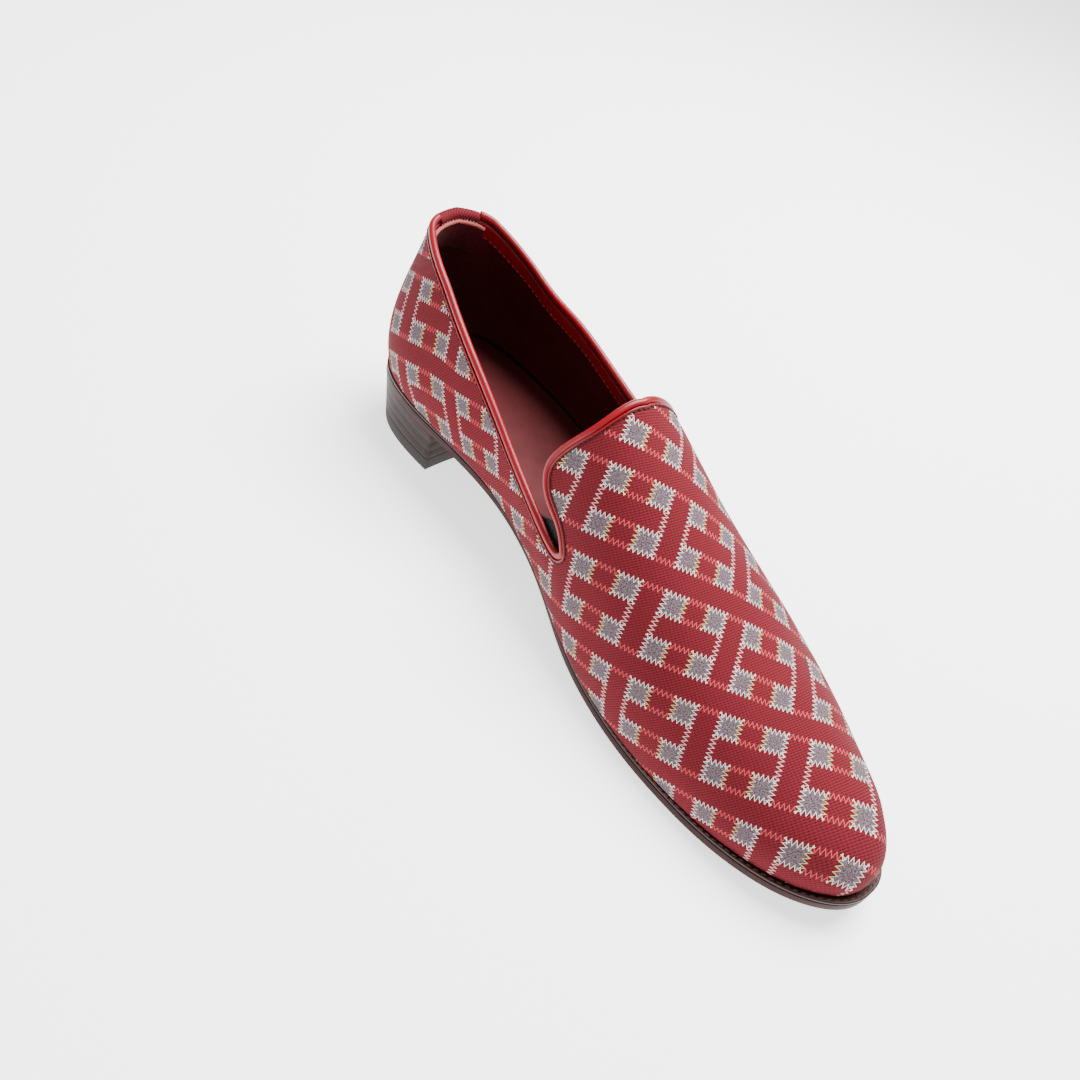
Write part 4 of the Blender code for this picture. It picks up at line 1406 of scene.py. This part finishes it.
    def build_raw_edge(self, suede: Suede, lining: Suede) -> None:
        """Builds the raw suede edge that stands inside the topline at the heel.

        Args:
            suede: Its finish.
            lining: Finish of the suede below it.
        """
        points, outward, beyond = self.last.rim_frame(*self.last.whole_topline(self.rim_steps))
        length = along_path(points)
        length = np.minimum(length, length[-1] - length)
        turn = int(np.argmax(length))
        inner = np.where(length[:turn] < self.edge_reach[0])[0]
        outer = turn + np.where(length[turn:-1] < self.edge_reach[1])[0]
        order = np.concatenate([outer, inner])
        points, outward, beyond = points[order], outward[order], beyond[order]
        past_tab = np.clip((length[order] - self.beside_tab[0]) / self.beside_tab[1], 0.0, 1.0)
        depth = self.raw_depth[0] + self.raw_depth[1] * past_tab
        inset = self.wall + self.raw_inset[0] + self.raw_inset[1] * past_tab
        line = points - outward * inset[:, None] - beyond * depth[:, None]
        wear(bead("raw_edge", line, outward, beyond, self.raw_radius, 10), suede, "upper")
        self.build_heel_lining(lining, points, outward, beyond, inset, depth)

    def build_heel_lining(self, lining: Suede, points: np.ndarray, outward: np.ndarray, beyond: np.ndarray,
                          inset: np.ndarray, depth: np.ndarray) -> None:
        """Builds the suede grip inside the heel, down from the raw edge.

        Args:
            lining: Its finish.
            points: Points of the topline round the heel.
            outward: Outward direction there.
            beyond: Direction out past the topline.
            inset: How far inside the topline the edge stands.
            depth: How far below the topline the edge stands.
        """
        rows = []
        for share in np.linspace(0.0, 1.0, 12):
            back = inset + (self.wall + self.apart - inset) * share ** 2
            down = depth + (self.grip - depth) * share
            rows.append(points - outward * back[:, None] - beyond * down[:, None])
        patch = drape("heel_grip", np.stack(rows, axis=1), hug=Vector((*self.last.shift[:2], 0.03)))
        thicken(patch, self.skin, Grow.INWARD)
        wear(patch, lining, "upper")


def bead(name: str, line: np.ndarray, outward: np.ndarray, beyond: np.ndarray, radius: float,
         sides: int) -> bpy.types.Object:
    """Round cord along a line.

    Args:
        name: Name of the piece.
        line: Its centres.
        outward: One direction across it.
        beyond: The other direction across it.
        radius: Its radius in metres.
        sides: Number of its sides.

    Returns:
        The closed piece.
    """
    turns = np.linspace(0.0, 2.0 * math.pi, sides + 1)
    swell = np.sin(np.linspace(0.0, math.pi, len(line)))
    radii = radius * np.clip(swell * len(line) / 3.0, 0.02, 1.0)[:, None]  # each end narrows over a point
    rows = [line + (outward * math.cos(turn) + beyond * math.sin(turn)) * radii for turn in turns]
    length = along_path(line) / MM
    chart = np.stack(np.meshgrid(length, turns, indexing="ij"), axis=-1)
    return drape(name, np.stack(rows, axis=1), chart, ring=True)


@dataclass(frozen=True)
class Stitch:
    """One kind of stitch: its length, the step to the next, the thread and the turn from the seam."""

    long: float
    pitch: float
    thick: float
    lean: float = 0.0

    def sew(self, name: str, line: np.ndarray, outward: np.ndarray) -> bpy.types.Object:
        """Row of single stitches along a line, all in one piece.

        Args:
            name: Name of the piece.
            line: The seam, as rows of x, y, z.
            outward: Outward direction at each row.

        Returns:
            The piece.
        """
        length = along_path(line)
        count = max(int(length[-1] / self.pitch), 1)
        places = (np.arange(count) + 0.5) * length[-1] / count
        near = self.pitch / 4.0
        spots = at_distance(places, length, line)
        ahead = unit(at_distance(places + near, length, line) - at_distance(places - near, length, line))
        away = unit(at_distance(places, length, outward))
        size = Matrix.Diagonal((self.long / 2.0, self.thick / 2.0, self.thick / 2.0, 1.0))
        net = bmesh.new()
        for spot, forward, out in zip(spots, ahead, away):
            forward = forward * math.cos(self.lean) + np.cross(out, forward) * math.sin(self.lean)
            across = np.cross(out, forward)
            turn = Matrix([forward, across, out]).transposed().to_4x4()
            turn.translation = Vector(spot)
            bmesh.ops.create_uvsphere(net, u_segments=6, v_segments=5, radius=1.0, matrix=turn @ size)
        return finish_mesh(name, net)


@dataclass
class Trim:
    """Piping round the topline and notches, its folded edge, and the stitches beside it."""

    last: Last
    wall: float
    tab: float
    radius: float = 0.0015
    under_tab: float = 0.0008  # how far the piping's ends go under the tab
    fold: float = 0.0004
    seam_back: float = 0.0006  # from the topline down to the seam
    # Radius of the dark cord along the seam, which is the seam's thread and painted shade of its groove; the
    # stitches stand out by it.
    groove: float = 0.00022
    facing_back: float = 0.0064
    outer_stitch: Stitch = Stitch(0.0017, 0.0021, 0.0005)
    inner_stitch: Stitch = Stitch(0.0018, 0.0027, 0.00045)
    steps: int = 320

    def build(self, leather: Leather, thread: Thread, pale: Thread) -> None:
        """Builds the bead, the folded edge beside it and both rows of stitches.

        Args:
            leather: Finish of the piping.
            thread: Finish of the outer stitches.
            pale: Finish of the stitches inside.
        """
        frame_rows = self.last.rim_frame(*self.last.whole_topline(self.steps))
        length = along_path(frame_rows[0])
        end = self.tab / 2.0 - self.under_tab
        keep = (length > end) & (length < length[-1] - end)
        points, outward, beyond = (rows[keep] for rows in frame_rows)

        def beside(out: float, down: float) -> np.ndarray:
            """Returns the topline moved outward and down the wall."""
            return points + outward * out - beyond * down

        centre = beside(-self.wall / 2.0, -self.radius - GAP)
        for name, line, radius, sides, finish, nodes in (
            ("piping_bead", centre, self.radius, 14, leather, ("piping",)),
            ("piping_fold", beside(self.fold * 0.15, 0.0001), self.fold, 10, leather, ()),
            # A dark cord of thread along the seam: the seam's thread and the painted shade of its groove.
            ("seam_thread_and_groove_shade", beside(0.0001, self.seam_back), self.groove, 8, thread, ()),
        ):
            wear(bead(name, line, outward, beyond, radius, sides), finish, "piping", *nodes)
        seam = beside(self.groove, self.seam_back + 0.0003)
        wear(self.outer_stitch.sew("topline_stitches", seam, outward), thread, "piping")
        inside = beside(-self.wall - 0.0007, self.facing_back)
        wear(self.inner_stitch.sew("facing_stitches", inside, outward), pale, "piping")


@dataclass
class HeelTab:
    """Cloth strip over the back seam, folded over the topline, with a row of stitches down each side."""

    last: Last
    wall: float
    width: float = 0.022
    thick: float = 0.001
    fold: float = 0.011  # how far it reaches down inside
    foot_share: float = 0.03
    rows: int = 46
    turn_rows: int = 13
    square_at: tuple[float, float] = (0.45, -0.55)  # the check where the strip's middle meets the topline
    soft_edge: float = 0.0003
    seam_in: float = 0.0016
    stitch: Stitch = Stitch(0.0018, 0.0026, 0.00042)

    def strip(self, across: np.ndarray) -> tuple[np.ndarray, np.ndarray]:
        """Follows the strip from its foot up the back, over the topline and down inside.

        Args:
            across: Places across the strip, from the back seam, in metres.

        Returns:
            The grid of points and the flat chart of it in metres.
        """
        grid, chart = [], []
        for place in across:
            line = self.last.topline(Side.OUTER if place > 0 else Side.INNER, 400)
            length = along_path(self.last.point(*line))
            rib, high = (float(np.interp(abs(place), length, values)) for values in line)
            shares = np.linspace(self.foot_share, high, self.rows)
            outside = self.last.point(np.full(self.rows, rib), shares)
            away = self.last.normal(np.full(self.rows, rib), shares)
            upward = unit(outside[-1] - outside[-2])
            rim = outside[-1] - away[-1] * self.wall / 2.0
            radius = self.wall / 2.0 + GAP
            path = list(outside[:-1] + away[:-1] * GAP)
            for angle in np.linspace(0.0, math.pi, self.turn_rows):
                path.append(rim + radius * (away[-1] * math.cos(angle) + upward * math.sin(angle)))
            down = np.linspace(high, 0.2, 120)
            inside = self.last.point(np.full(len(down), rib), down)
            inward = self.last.normal(np.full(len(down), rib), down)
            drop = along_path(inside)
            for depth in np.linspace(0.1, 1.0, 8):
                k = int(np.searchsorted(drop, depth * self.fold))
                path.append(inside[k] - inward[k] * (self.wall + GAP))
            path = np.array(path)
            run = along_path(path)
            grid.append(path)
            chart.append(np.stack([np.full(len(run), place), run - run[self.rows]], axis=1))
        return np.array(grid), np.array(chart)

    def build(self, cloth: WovenCheck, thread: Thread) -> None:
        """Builds the strip and its stitches.

        Args:
            cloth: The cloth, whose pitch the strip's chart uses.
            thread: Finish of the stitches.
        """
        half = self.width / 2.0
        grid, chart = self.strip(np.linspace(-half, half, 23))
        strip = drape("heel_tab_cloth", grid, np.array(self.square_at) + chart / (cloth.pitch_mm * MM))
        back = Vector((*self.last.shift[:2], 0.05))
        lower = [face for face in strip.data.polygons if face.center.z < 0.07]
        if sum((face.center - back).dot(face.normal) for face in lower) < 0.0:
            strip.data.flip_normals()
        thicken(strip, self.thick, Grow.OUTWARD)
        soften = strip.modifiers.new("soft_edges", "BEVEL")
        soften.width = self.soft_edge
        soften.segments = 2
        wear(strip, cloth, "heel_tab", "heel_tab")
        seam = half - self.seam_in
        sewn = self.rows + 4
        rows = self.strip(np.array([-seam, seam]))[0][:, :sewn]
        across = unit(rows[1] - rows[0])
        for side, row in zip(Side, rows):
            outward = unit(np.cross(unit(np.gradient(row, axis=0)), across))
            if outward[10, 1] < 0.0:
                outward = -outward
            name = "tab_stitches_" + side.name.lower()
            wear(self.stitch.sew(name, row + outward * self.thick, outward), thread, "heel_tab")


@dataclass
class Gores:
    """Elastic cloth behind both side notches."""

    last: Last
    inset: float
    thick: float = 0.001
    grid: tuple[int, int] = (37, 21)
    # Each side's corners, as places on the upper line and shares: low and high, at the back and in front.
    back_low: tuple = ((0.600, 0.180), (0.600, 0.250))
    front_low: tuple = ((0.770, 0.190), (0.770, 0.260))
    front_high: tuple = ((0.740, 0.420), (0.740, 0.480))
    back_high: tuple = ((0.570, 0.290), (0.570, 0.400))

    def build(self, elastic: ElasticCloth) -> None:
        """Builds each gore as a patch of the last's surface, inside the wall.

        Args:
            elastic: Its finish.
        """
        wide, high = self.grid
        u = np.linspace(0.0, 1.0, wide)[:, None, None]
        v = np.linspace(0.0, 1.0, high)[None, :, None]
        for which, (side, node) in enumerate(((Side.INNER, "gore_medial"), (Side.OUTER, "gore_lateral"))):
            low = np.array(self.back_low[which]) * (1 - u) + np.array(self.front_low[which]) * u
            top = np.array(self.back_high[which]) * (1 - u) + np.array(self.front_high[which]) * u
            places = low * (1 - v) + top * v
            ribs = self.last.rib_at_top(places[..., 0].ravel(), side).reshape(wide, high)
            points = self.last.surface(ribs, places[..., 1], -self.inset)
            long = np.linalg.norm(points[-1, 0] - points[0, 0]) / MM
            tall = np.linalg.norm(points[0, -1] - points[0, 0]) / MM
            chart = np.concatenate([u * long + 0.0 * v, v * tall + 0.0 * u], axis=-1)
            across, along = self.last.shift[:2]
            middle = Vector((across, along + points[0, 0, 1], 0.02))
            piece = drape("gore_cloth_" + side.name.lower(), points, chart, hug=middle)
            thicken(piece, self.thick, Grow.INWARD)
            wear(piece, elastic, "gore", node)


@dataclass
class Bottom:
    """Welt, outsole, stacked heel, top piece and the sock lining inside."""

    last: Last
    welt_inside: float = 0.003
    top_piece: float = 0.006
    taper: float = 0.0025
    breast_curve: float = 0.003
    lifts: int = 3
    insole: float = 0.0025
    wheel_pitch: float = 0.0011
    wheel_depth: float = 0.00008
    welt_round: float = 0.0003
    welt_lip: float = 0.0008
    seam_share: float = 0.55  # of the way from the feather edge to the sole's edge
    seam_ribs: tuple[float, float] = (7.6, 6.2)  # from the heel back, on the inner and outer side
    stitch: Stitch = Stitch(0.0021, 0.0026, 0.00055, 0.12)

    def heel_edge(self, ribs: np.ndarray) -> np.ndarray:
        """Returns the heel's outline, a hair inside the sole's."""
        return self.last.sole_edge(ribs) - GAP

    def joint_height(self, share: float) -> Height:
        """Returns the height of a joint between lifts, by the distance from the heel back."""
        floor = self.top_piece + GAP
        return lambda y: floor + share * (self.last.ground(y) - GAP - floor)

    def sides(self, offset: Offset) -> tuple[float, float, tuple, tuple]:
        """Splits an outline into its two sides.

        Args:
            offset: Distance out from the feather edge, a number or a function of the ribs.

        Returns:
            First and last distance from the heel back, then the inner and outer side's places.
        """
        ribs = np.linspace(0.0, self.last.period, 1041)
        along, across, out_along, out_across = self.last.feather(ribs)
        spread = offset(ribs) if callable(offset) else offset
        along = along + out_along * spread
        across = across + out_across * spread
        back = int(np.argmin(along))
        front = (int(np.argmax(along)) - back) % (len(along) - 1)
        across, along = np.roll(across[:-1], -back), np.roll(along[:-1], -back)
        inner = (along[:front + 1], across[:front + 1])
        outer = (np.append(along[front:], along[0])[::-1], np.append(across[front:], across[0])[::-1])
        return float(along[0]), float(along[front]), inner, outer

    def plate(self, name: str, offset: Offset, low: Height, high: Height, rows: int, round_edge: float,
              end: float | None = None, taper: tuple[float, float] = (0.0, 0.0)) -> bpy.types.Object:
        """Plate inside an outline between two heights.

        Args:
            name: Name of the piece.
            offset: Distance out from the feather edge, a number or a function of the ribs.
            low: Height of the underside, a function of the distance from the heel back.
            high: Height of the top.
            rows: Number of steps along it.
            round_edge: Width of the rounding of its edges.
            end: Distance at which it stops with a curved breast, where it stops before the toe.
            taper: How far the underside and the top draw in.

        Returns:
            The piece.
        """
        first, final, inner, outer = self.sides(offset)
        stop = final if end is None else end
        bend = 0.0 if end is None else self.breast_curve
        turn = math.pi if end is None else math.pi / 2.0
        net = bmesh.new()
        bmesh.ops.create_grid(net, x_segments=12, y_segments=rows, size=0.5)
        for vert in net.verts:
            share = (1.0 - math.cos((vert.co.y + 0.5) * turn)) / (1.0 - math.cos(turn))
            place = first + (stop - first) * share
            left = float(np.interp(place, inner[0], inner[1]))
            right = float(np.interp(place, outer[0], outer[1]))
            across = 2.0 * vert.co.x
            side = (left + right) / 2.0 + across * (right - left) / 2.0
            vert.co = (side, place - bend * share ** 6 * (1.0 - across * across), 0.0)
        bmesh.ops.remove_doubles(net, verts=net.verts, dist=WELD)
        under = list(net.verts)
        lifted = bmesh.ops.extrude_face_region(net, geom=list(net.faces), use_keep_orig=True)
        above = [item for item in lifted["geom"] if isinstance(item, bmesh.types.BMVert)]
        middle = (first + stop) / 2.0
        half_width = self.last.width * 0.35
        for verts, height, inset in ((under, low, taper[0]), (above, high, taper[1])):
            for vert in verts:
                along = vert.co.y
                vert.co.z = float(height(along))
                vert.co.x = vert.co.x * (1.0 - inset / half_width) + self.last.shift[0]
                spot = middle + (along - middle) * (1.0 - inset / (middle - first))
                vert.co.y = self.last.length / 2.0 - spot + self.last.shift[1]
        bmesh.ops.recalc_face_normals(net, faces=net.faces)
        sharp = 0.9  # radians between two faces
        rims = [edge for edge in net.edges if len(edge.link_faces) == 2 and edge.calc_face_angle(0.0) > sharp]
        bmesh.ops.bevel(
            net, geom=rims, offset=round_edge, segments=3, profile=0.5, affect="EDGES", material=-1,
            clamp_overlap=True,
        )
        return finish_mesh(name, net)

    def build_welt(self, leather: Leather, thread: Thread) -> None:
        """Builds the welt with its wheel marks, and its stitches round the forepart.

        Args:
            leather: Its finish.
            thread: Finish of the stitches.
        """
        last = self.last
        ribs = np.linspace(0.0, last.period, 1201)
        spread = last.sole_edge(ribs)
        length = along_path(last.rim(ribs, spread, last.welt_floor))
        wheel = self.wheel_depth * np.cos(length / self.wheel_pitch * 2.0 * math.pi)
        round_by, inside = self.welt_round, self.welt_inside
        # Rows of a share of the sole's edge, an offset from it, a height and a share of the wheel marks.
        profile = (
            (1.0, -round_by, 0.0, 0.0), (1.0, 0.0, round_by, 0.0), (1.0, 0.0, last.welt - round_by, 0.0),
            (1.0, -round_by, last.welt, 0.6), (1.0, -self.welt_lip, last.welt, 1.0),
            (0.0, -self.welt_lip / 2.0, last.welt, 1.0), (0.0, -inside, last.welt, 0.0),
            (0.0, -inside, 0.0, 0.0), (1.0, -round_by, 0.0, 0.0),
        )
        rows = []
        for share, inset, height, marked in profile:
            inset = inset if share > 0.0 or inset < -0.001 else inset + np.minimum(spread, 0.0)
            ring = last.rim(ribs, spread * share + inset, last.welt_floor)
            ring[:, 2] += height + wheel * marked
            rows.append(ring)
        welt = drape("welt_strip", np.stack(rows, axis=1), ring=True)
        wear(welt, leather, "welt", "welt")
        stitched = np.linspace(self.seam_ribs[0], last.period - self.seam_ribs[1], 700)
        run = last.rim(stitched, last.sole_edge(stitched) * self.seam_share, last.welt_floor)
        run[:, 2] += last.welt + 0.0001
        upward = np.tile([0.0, 0.0, 1.0], (len(run), 1))
        wear(self.stitch.sew("welt_stitches", run, upward), thread, "welt")

    def build(self, welt: Leather, stitch: Thread, edge: StackedEdge, heel: StackedEdge, rubber: Rubber,
              sock: Leather) -> None:
        """Builds every piece under the upper.

        Args:
            welt: Finish of the welt.
            stitch: Finish of its stitches.
            edge: Finish of the outsole.
            heel: Finish of the heel's lifts.
            rubber: Finish of the top piece.
            sock: Finish of the sock lining.
        """
        last = self.last
        self.build_welt(welt, stitch)
        sole = self.plate(
            "outsole_leather", last.sole_edge, last.ground,
            lambda y: last.ground(y) + last.outsole, 120, 0.0005,
        )
        wear(sole, edge, "outsole", "outsole")
        breast = last.breast * last.length
        joint = self.top_piece / last.heel * self.taper
        for lift in range(self.lifts):
            low, high = lift / self.lifts, (lift + 1) / self.lifts
            taper = tuple((self.taper - joint) * (1.0 - share) for share in (low, high))
            piece = self.plate(
                f"heel_lift_{lift + 1}", self.heel_edge, self.joint_height(low), self.joint_height(high), 36,
                0.00012, breast, taper,
            )
            wear(piece, heel, "heel_stack", *(("heel_stack",) if lift == 0 else ()))
        cap = self.plate(
            "heel_rubber", self.heel_edge, lambda y: 0.0, lambda y: self.top_piece, 36, 0.0006, breast,
            (self.taper, self.taper - joint),
        )
        wear(cap, rubber, "heel_top_piece", "heel_top_piece")
        liner = self.plate(
            "sock_lining", -self.welt_inside - GAP, last.welt_floor,
            lambda y: last.welt_floor(y) + self.insole, 90, 0.0005,
        )
        wear(liner, sock, "insole", "insole")


@dataclass
class Studio:
    """Pale floor, soft light and the camera at the photograph's angle."""

    last: Last
    azimuth: float = -49.3
    elevation: float = 42.9
    roll: float = 19.2
    distance: float = 0.3627
    focal_px: float = 990.0
    photo_px: float = 1080.0
    slide: tuple[float, float] = (-0.0346, -0.0096)
    aim_height: float = 0.045
    sensor_mm: float = 36.0
    room_light: float = 0.45
    # Rows of a lamp's name, place, size and watts.
    lamps: tuple = (
        ("overhead_soft", (0.45, 0.10, 1.05), 0.8, 50.0),
        ("front_soft", (-0.9, -0.9, 0.9), 1.0, 1.5),
    )

    def build_camera(self) -> None:
        """Places the camera where the photograph was taken from, relative to the shoe."""
        turn, tilt, roll = (math.radians(angle) for angle in (self.azimuth, self.elevation, self.roll))
        toward = Vector((math.sin(turn) * math.cos(tilt), -math.cos(turn) * math.cos(tilt), math.sin(tilt)))
        level = (-toward).cross(Vector((0.0, 0.0, 1.0))).normalized()
        upright = level.cross(-toward)
        right = level * math.cos(roll) + upright * math.sin(roll)
        up = upright * math.cos(roll) - level * math.sin(roll)
        aim = Vector((self.last.shift[0], self.last.shift[1], self.aim_height))
        spot = aim + toward * self.distance + right * self.slide[0] + up * self.slide[1]
        data = bpy.data.cameras.new("photo_camera")
        data.sensor_width = self.sensor_mm
        data.sensor_fit = "HORIZONTAL"
        data.lens = self.focal_px / self.photo_px * data.sensor_width
        data.clip_start = 0.01
        camera = bpy.data.objects.new("photo_camera", data)
        turned = Matrix((right, up, toward)).transposed().to_4x4()
        camera.matrix_world = Matrix.Translation(spot) @ turned
        bpy.context.scene.collection.objects.link(camera)
        bpy.context.scene.camera = camera

    def build_floor(self, finish: Acrylic) -> None:
        """Lays the floor.

        Args:
            finish: Its acrylic.
        """
        net = bmesh.new()
        bmesh.ops.create_grid(net, x_segments=8, y_segments=8, size=3.0)
        floor = finish_mesh("studio_floor", net)
        floor.data.materials.append(finish.material())

    def build_lights(self) -> None:
        """Hangs two soft lights and lights the room round them."""
        aim = Vector((0.0, 0.0, 0.02))
        for name, spot, size, power in self.lamps:
            data = bpy.data.lights.new(name, "AREA")
            data.shape = "SQUARE"
            data.size = size
            data.energy = power
            lamp = bpy.data.objects.new(name, data)
            lamp.location = spot
            lamp.rotation_euler = (aim - Vector(spot)).to_track_quat("-Z", "Y").to_euler()
            bpy.context.scene.collection.objects.link(lamp)
        world = bpy.data.worlds.new("studio_room")
        world.use_nodes = True
        background = world.node_tree.nodes["Background"]
        background.inputs["Color"].default_value = linear("#FFFFFF")
        background.inputs["Strength"].default_value = self.room_light
        bpy.context.scene.world = world


def main() -> None:
    """Builds every piece in order."""
    logging.basicConfig(level=logging.INFO, format="%(name)s: %(message)s")
    last = Last()

    # Worsted wool woven on a jacquard loom: matt, with raised threads that catch no highlight.
    check = WovenCheck("jacquard_check_worsted")
    # Aniline-dyed calf, pared thin and glazed: bright red with a narrow highlight along the bead.
    piping_calf = Leather("piping_calf_bright_red", "#960B1A", "#720511", 0.34, 0.6, 0.02, 0.05)
    # Calf in the same dye, only brushed: a softer gloss.
    facing_calf = Leather("facing_calf_red", "#980E1B", "#720813", 0.42, 0.8, 0.03, 0.04)
    # Vegetable-tanned lining calf, rolled but unglazed: dark and nearly matt.
    lining_calf = Leather("lining_calf_dark_red", "#520E12", "#300608", 0.6)
    # The same, rubbed dull by the foot.
    sock_calf = Leather("sock_calf_dark_red", "#5A1015", "#3C080B", 0.75)
    # Split suede with an uncoloured cut edge: pale pink and fuzzy.
    raw_suede = Suede("raw_suede_pink", "#9A3A3C", "#C87870")
    # The same split, dyed through: dark red and without any shine.
    grip_suede = Suede("heel_grip_suede_red", "#3A080A", "#5A1214")
    # Waxed linen thread in three dyes.
    dark_thread = Thread("thread_dark_red", "#4A1014")
    pale_thread = Thread("thread_light_red", "#D86A64")
    welt_thread = Thread("welt_thread_brown", "#7A3C34")
    # Bark-tanned shoulder, inked and waxed: nearly black with a low gloss.
    welt_leather = Leather("welt_leather_dark", "#34100D", "#1A0806", 0.45, 0.8, 0.04, 0.03)
    # Bark-tanned bend, inked dark red and ironed: fine level fibres under wax.
    sole_edge = StackedEdge("outsole_edge_burnished", "#41120E", "#5A2A20", 0.40, 2.8, 0.02, 0.10)
    # Pressed leather lifts, inked and burnished: dark brown, a faint line at each joint.
    heel_edge = StackedEdge("heel_lifts_burnished", "#301A13", "#2A1A15", 0.42, 6.1, 0.02, 0.12)
    # Moulded nitrile rubber: black and dusty.
    rubber = Rubber("heel_rubber_black", "#241A17")
    # Rubber cords between two knits: black, matt and ribbed.
    elastic = ElasticCloth("elastic_gore_black", "#0E0D0E", "#262426", 0.9)
    # Cast white acrylic, lit from behind: no shine, and shadows stay pale.
    white = Acrylic("floor_acrylic_white", "#FFFFFF", 1.7)

    upper = Upper(last)
    upper.build(check, lining_calf, facing_calf, raw_suede, grip_suede)
    tab = HeelTab(last, upper.wall)
    trim = Trim(last, upper.wall, tab.width)
    trim.build(piping_calf, dark_thread, pale_thread)
    tab.build(check, dark_thread)
    Gores(last, upper.wall / 2.0 + trim.radius + GAP).build(elastic)
    Bottom(last).build(welt_leather, welt_thread, sole_edge, heel_edge, rubber, sock_calf)
    studio = Studio(last)
    studio.build_floor(white)
    studio.build_lights()
    studio.build_camera()


if __name__ == "__main__":
    main()
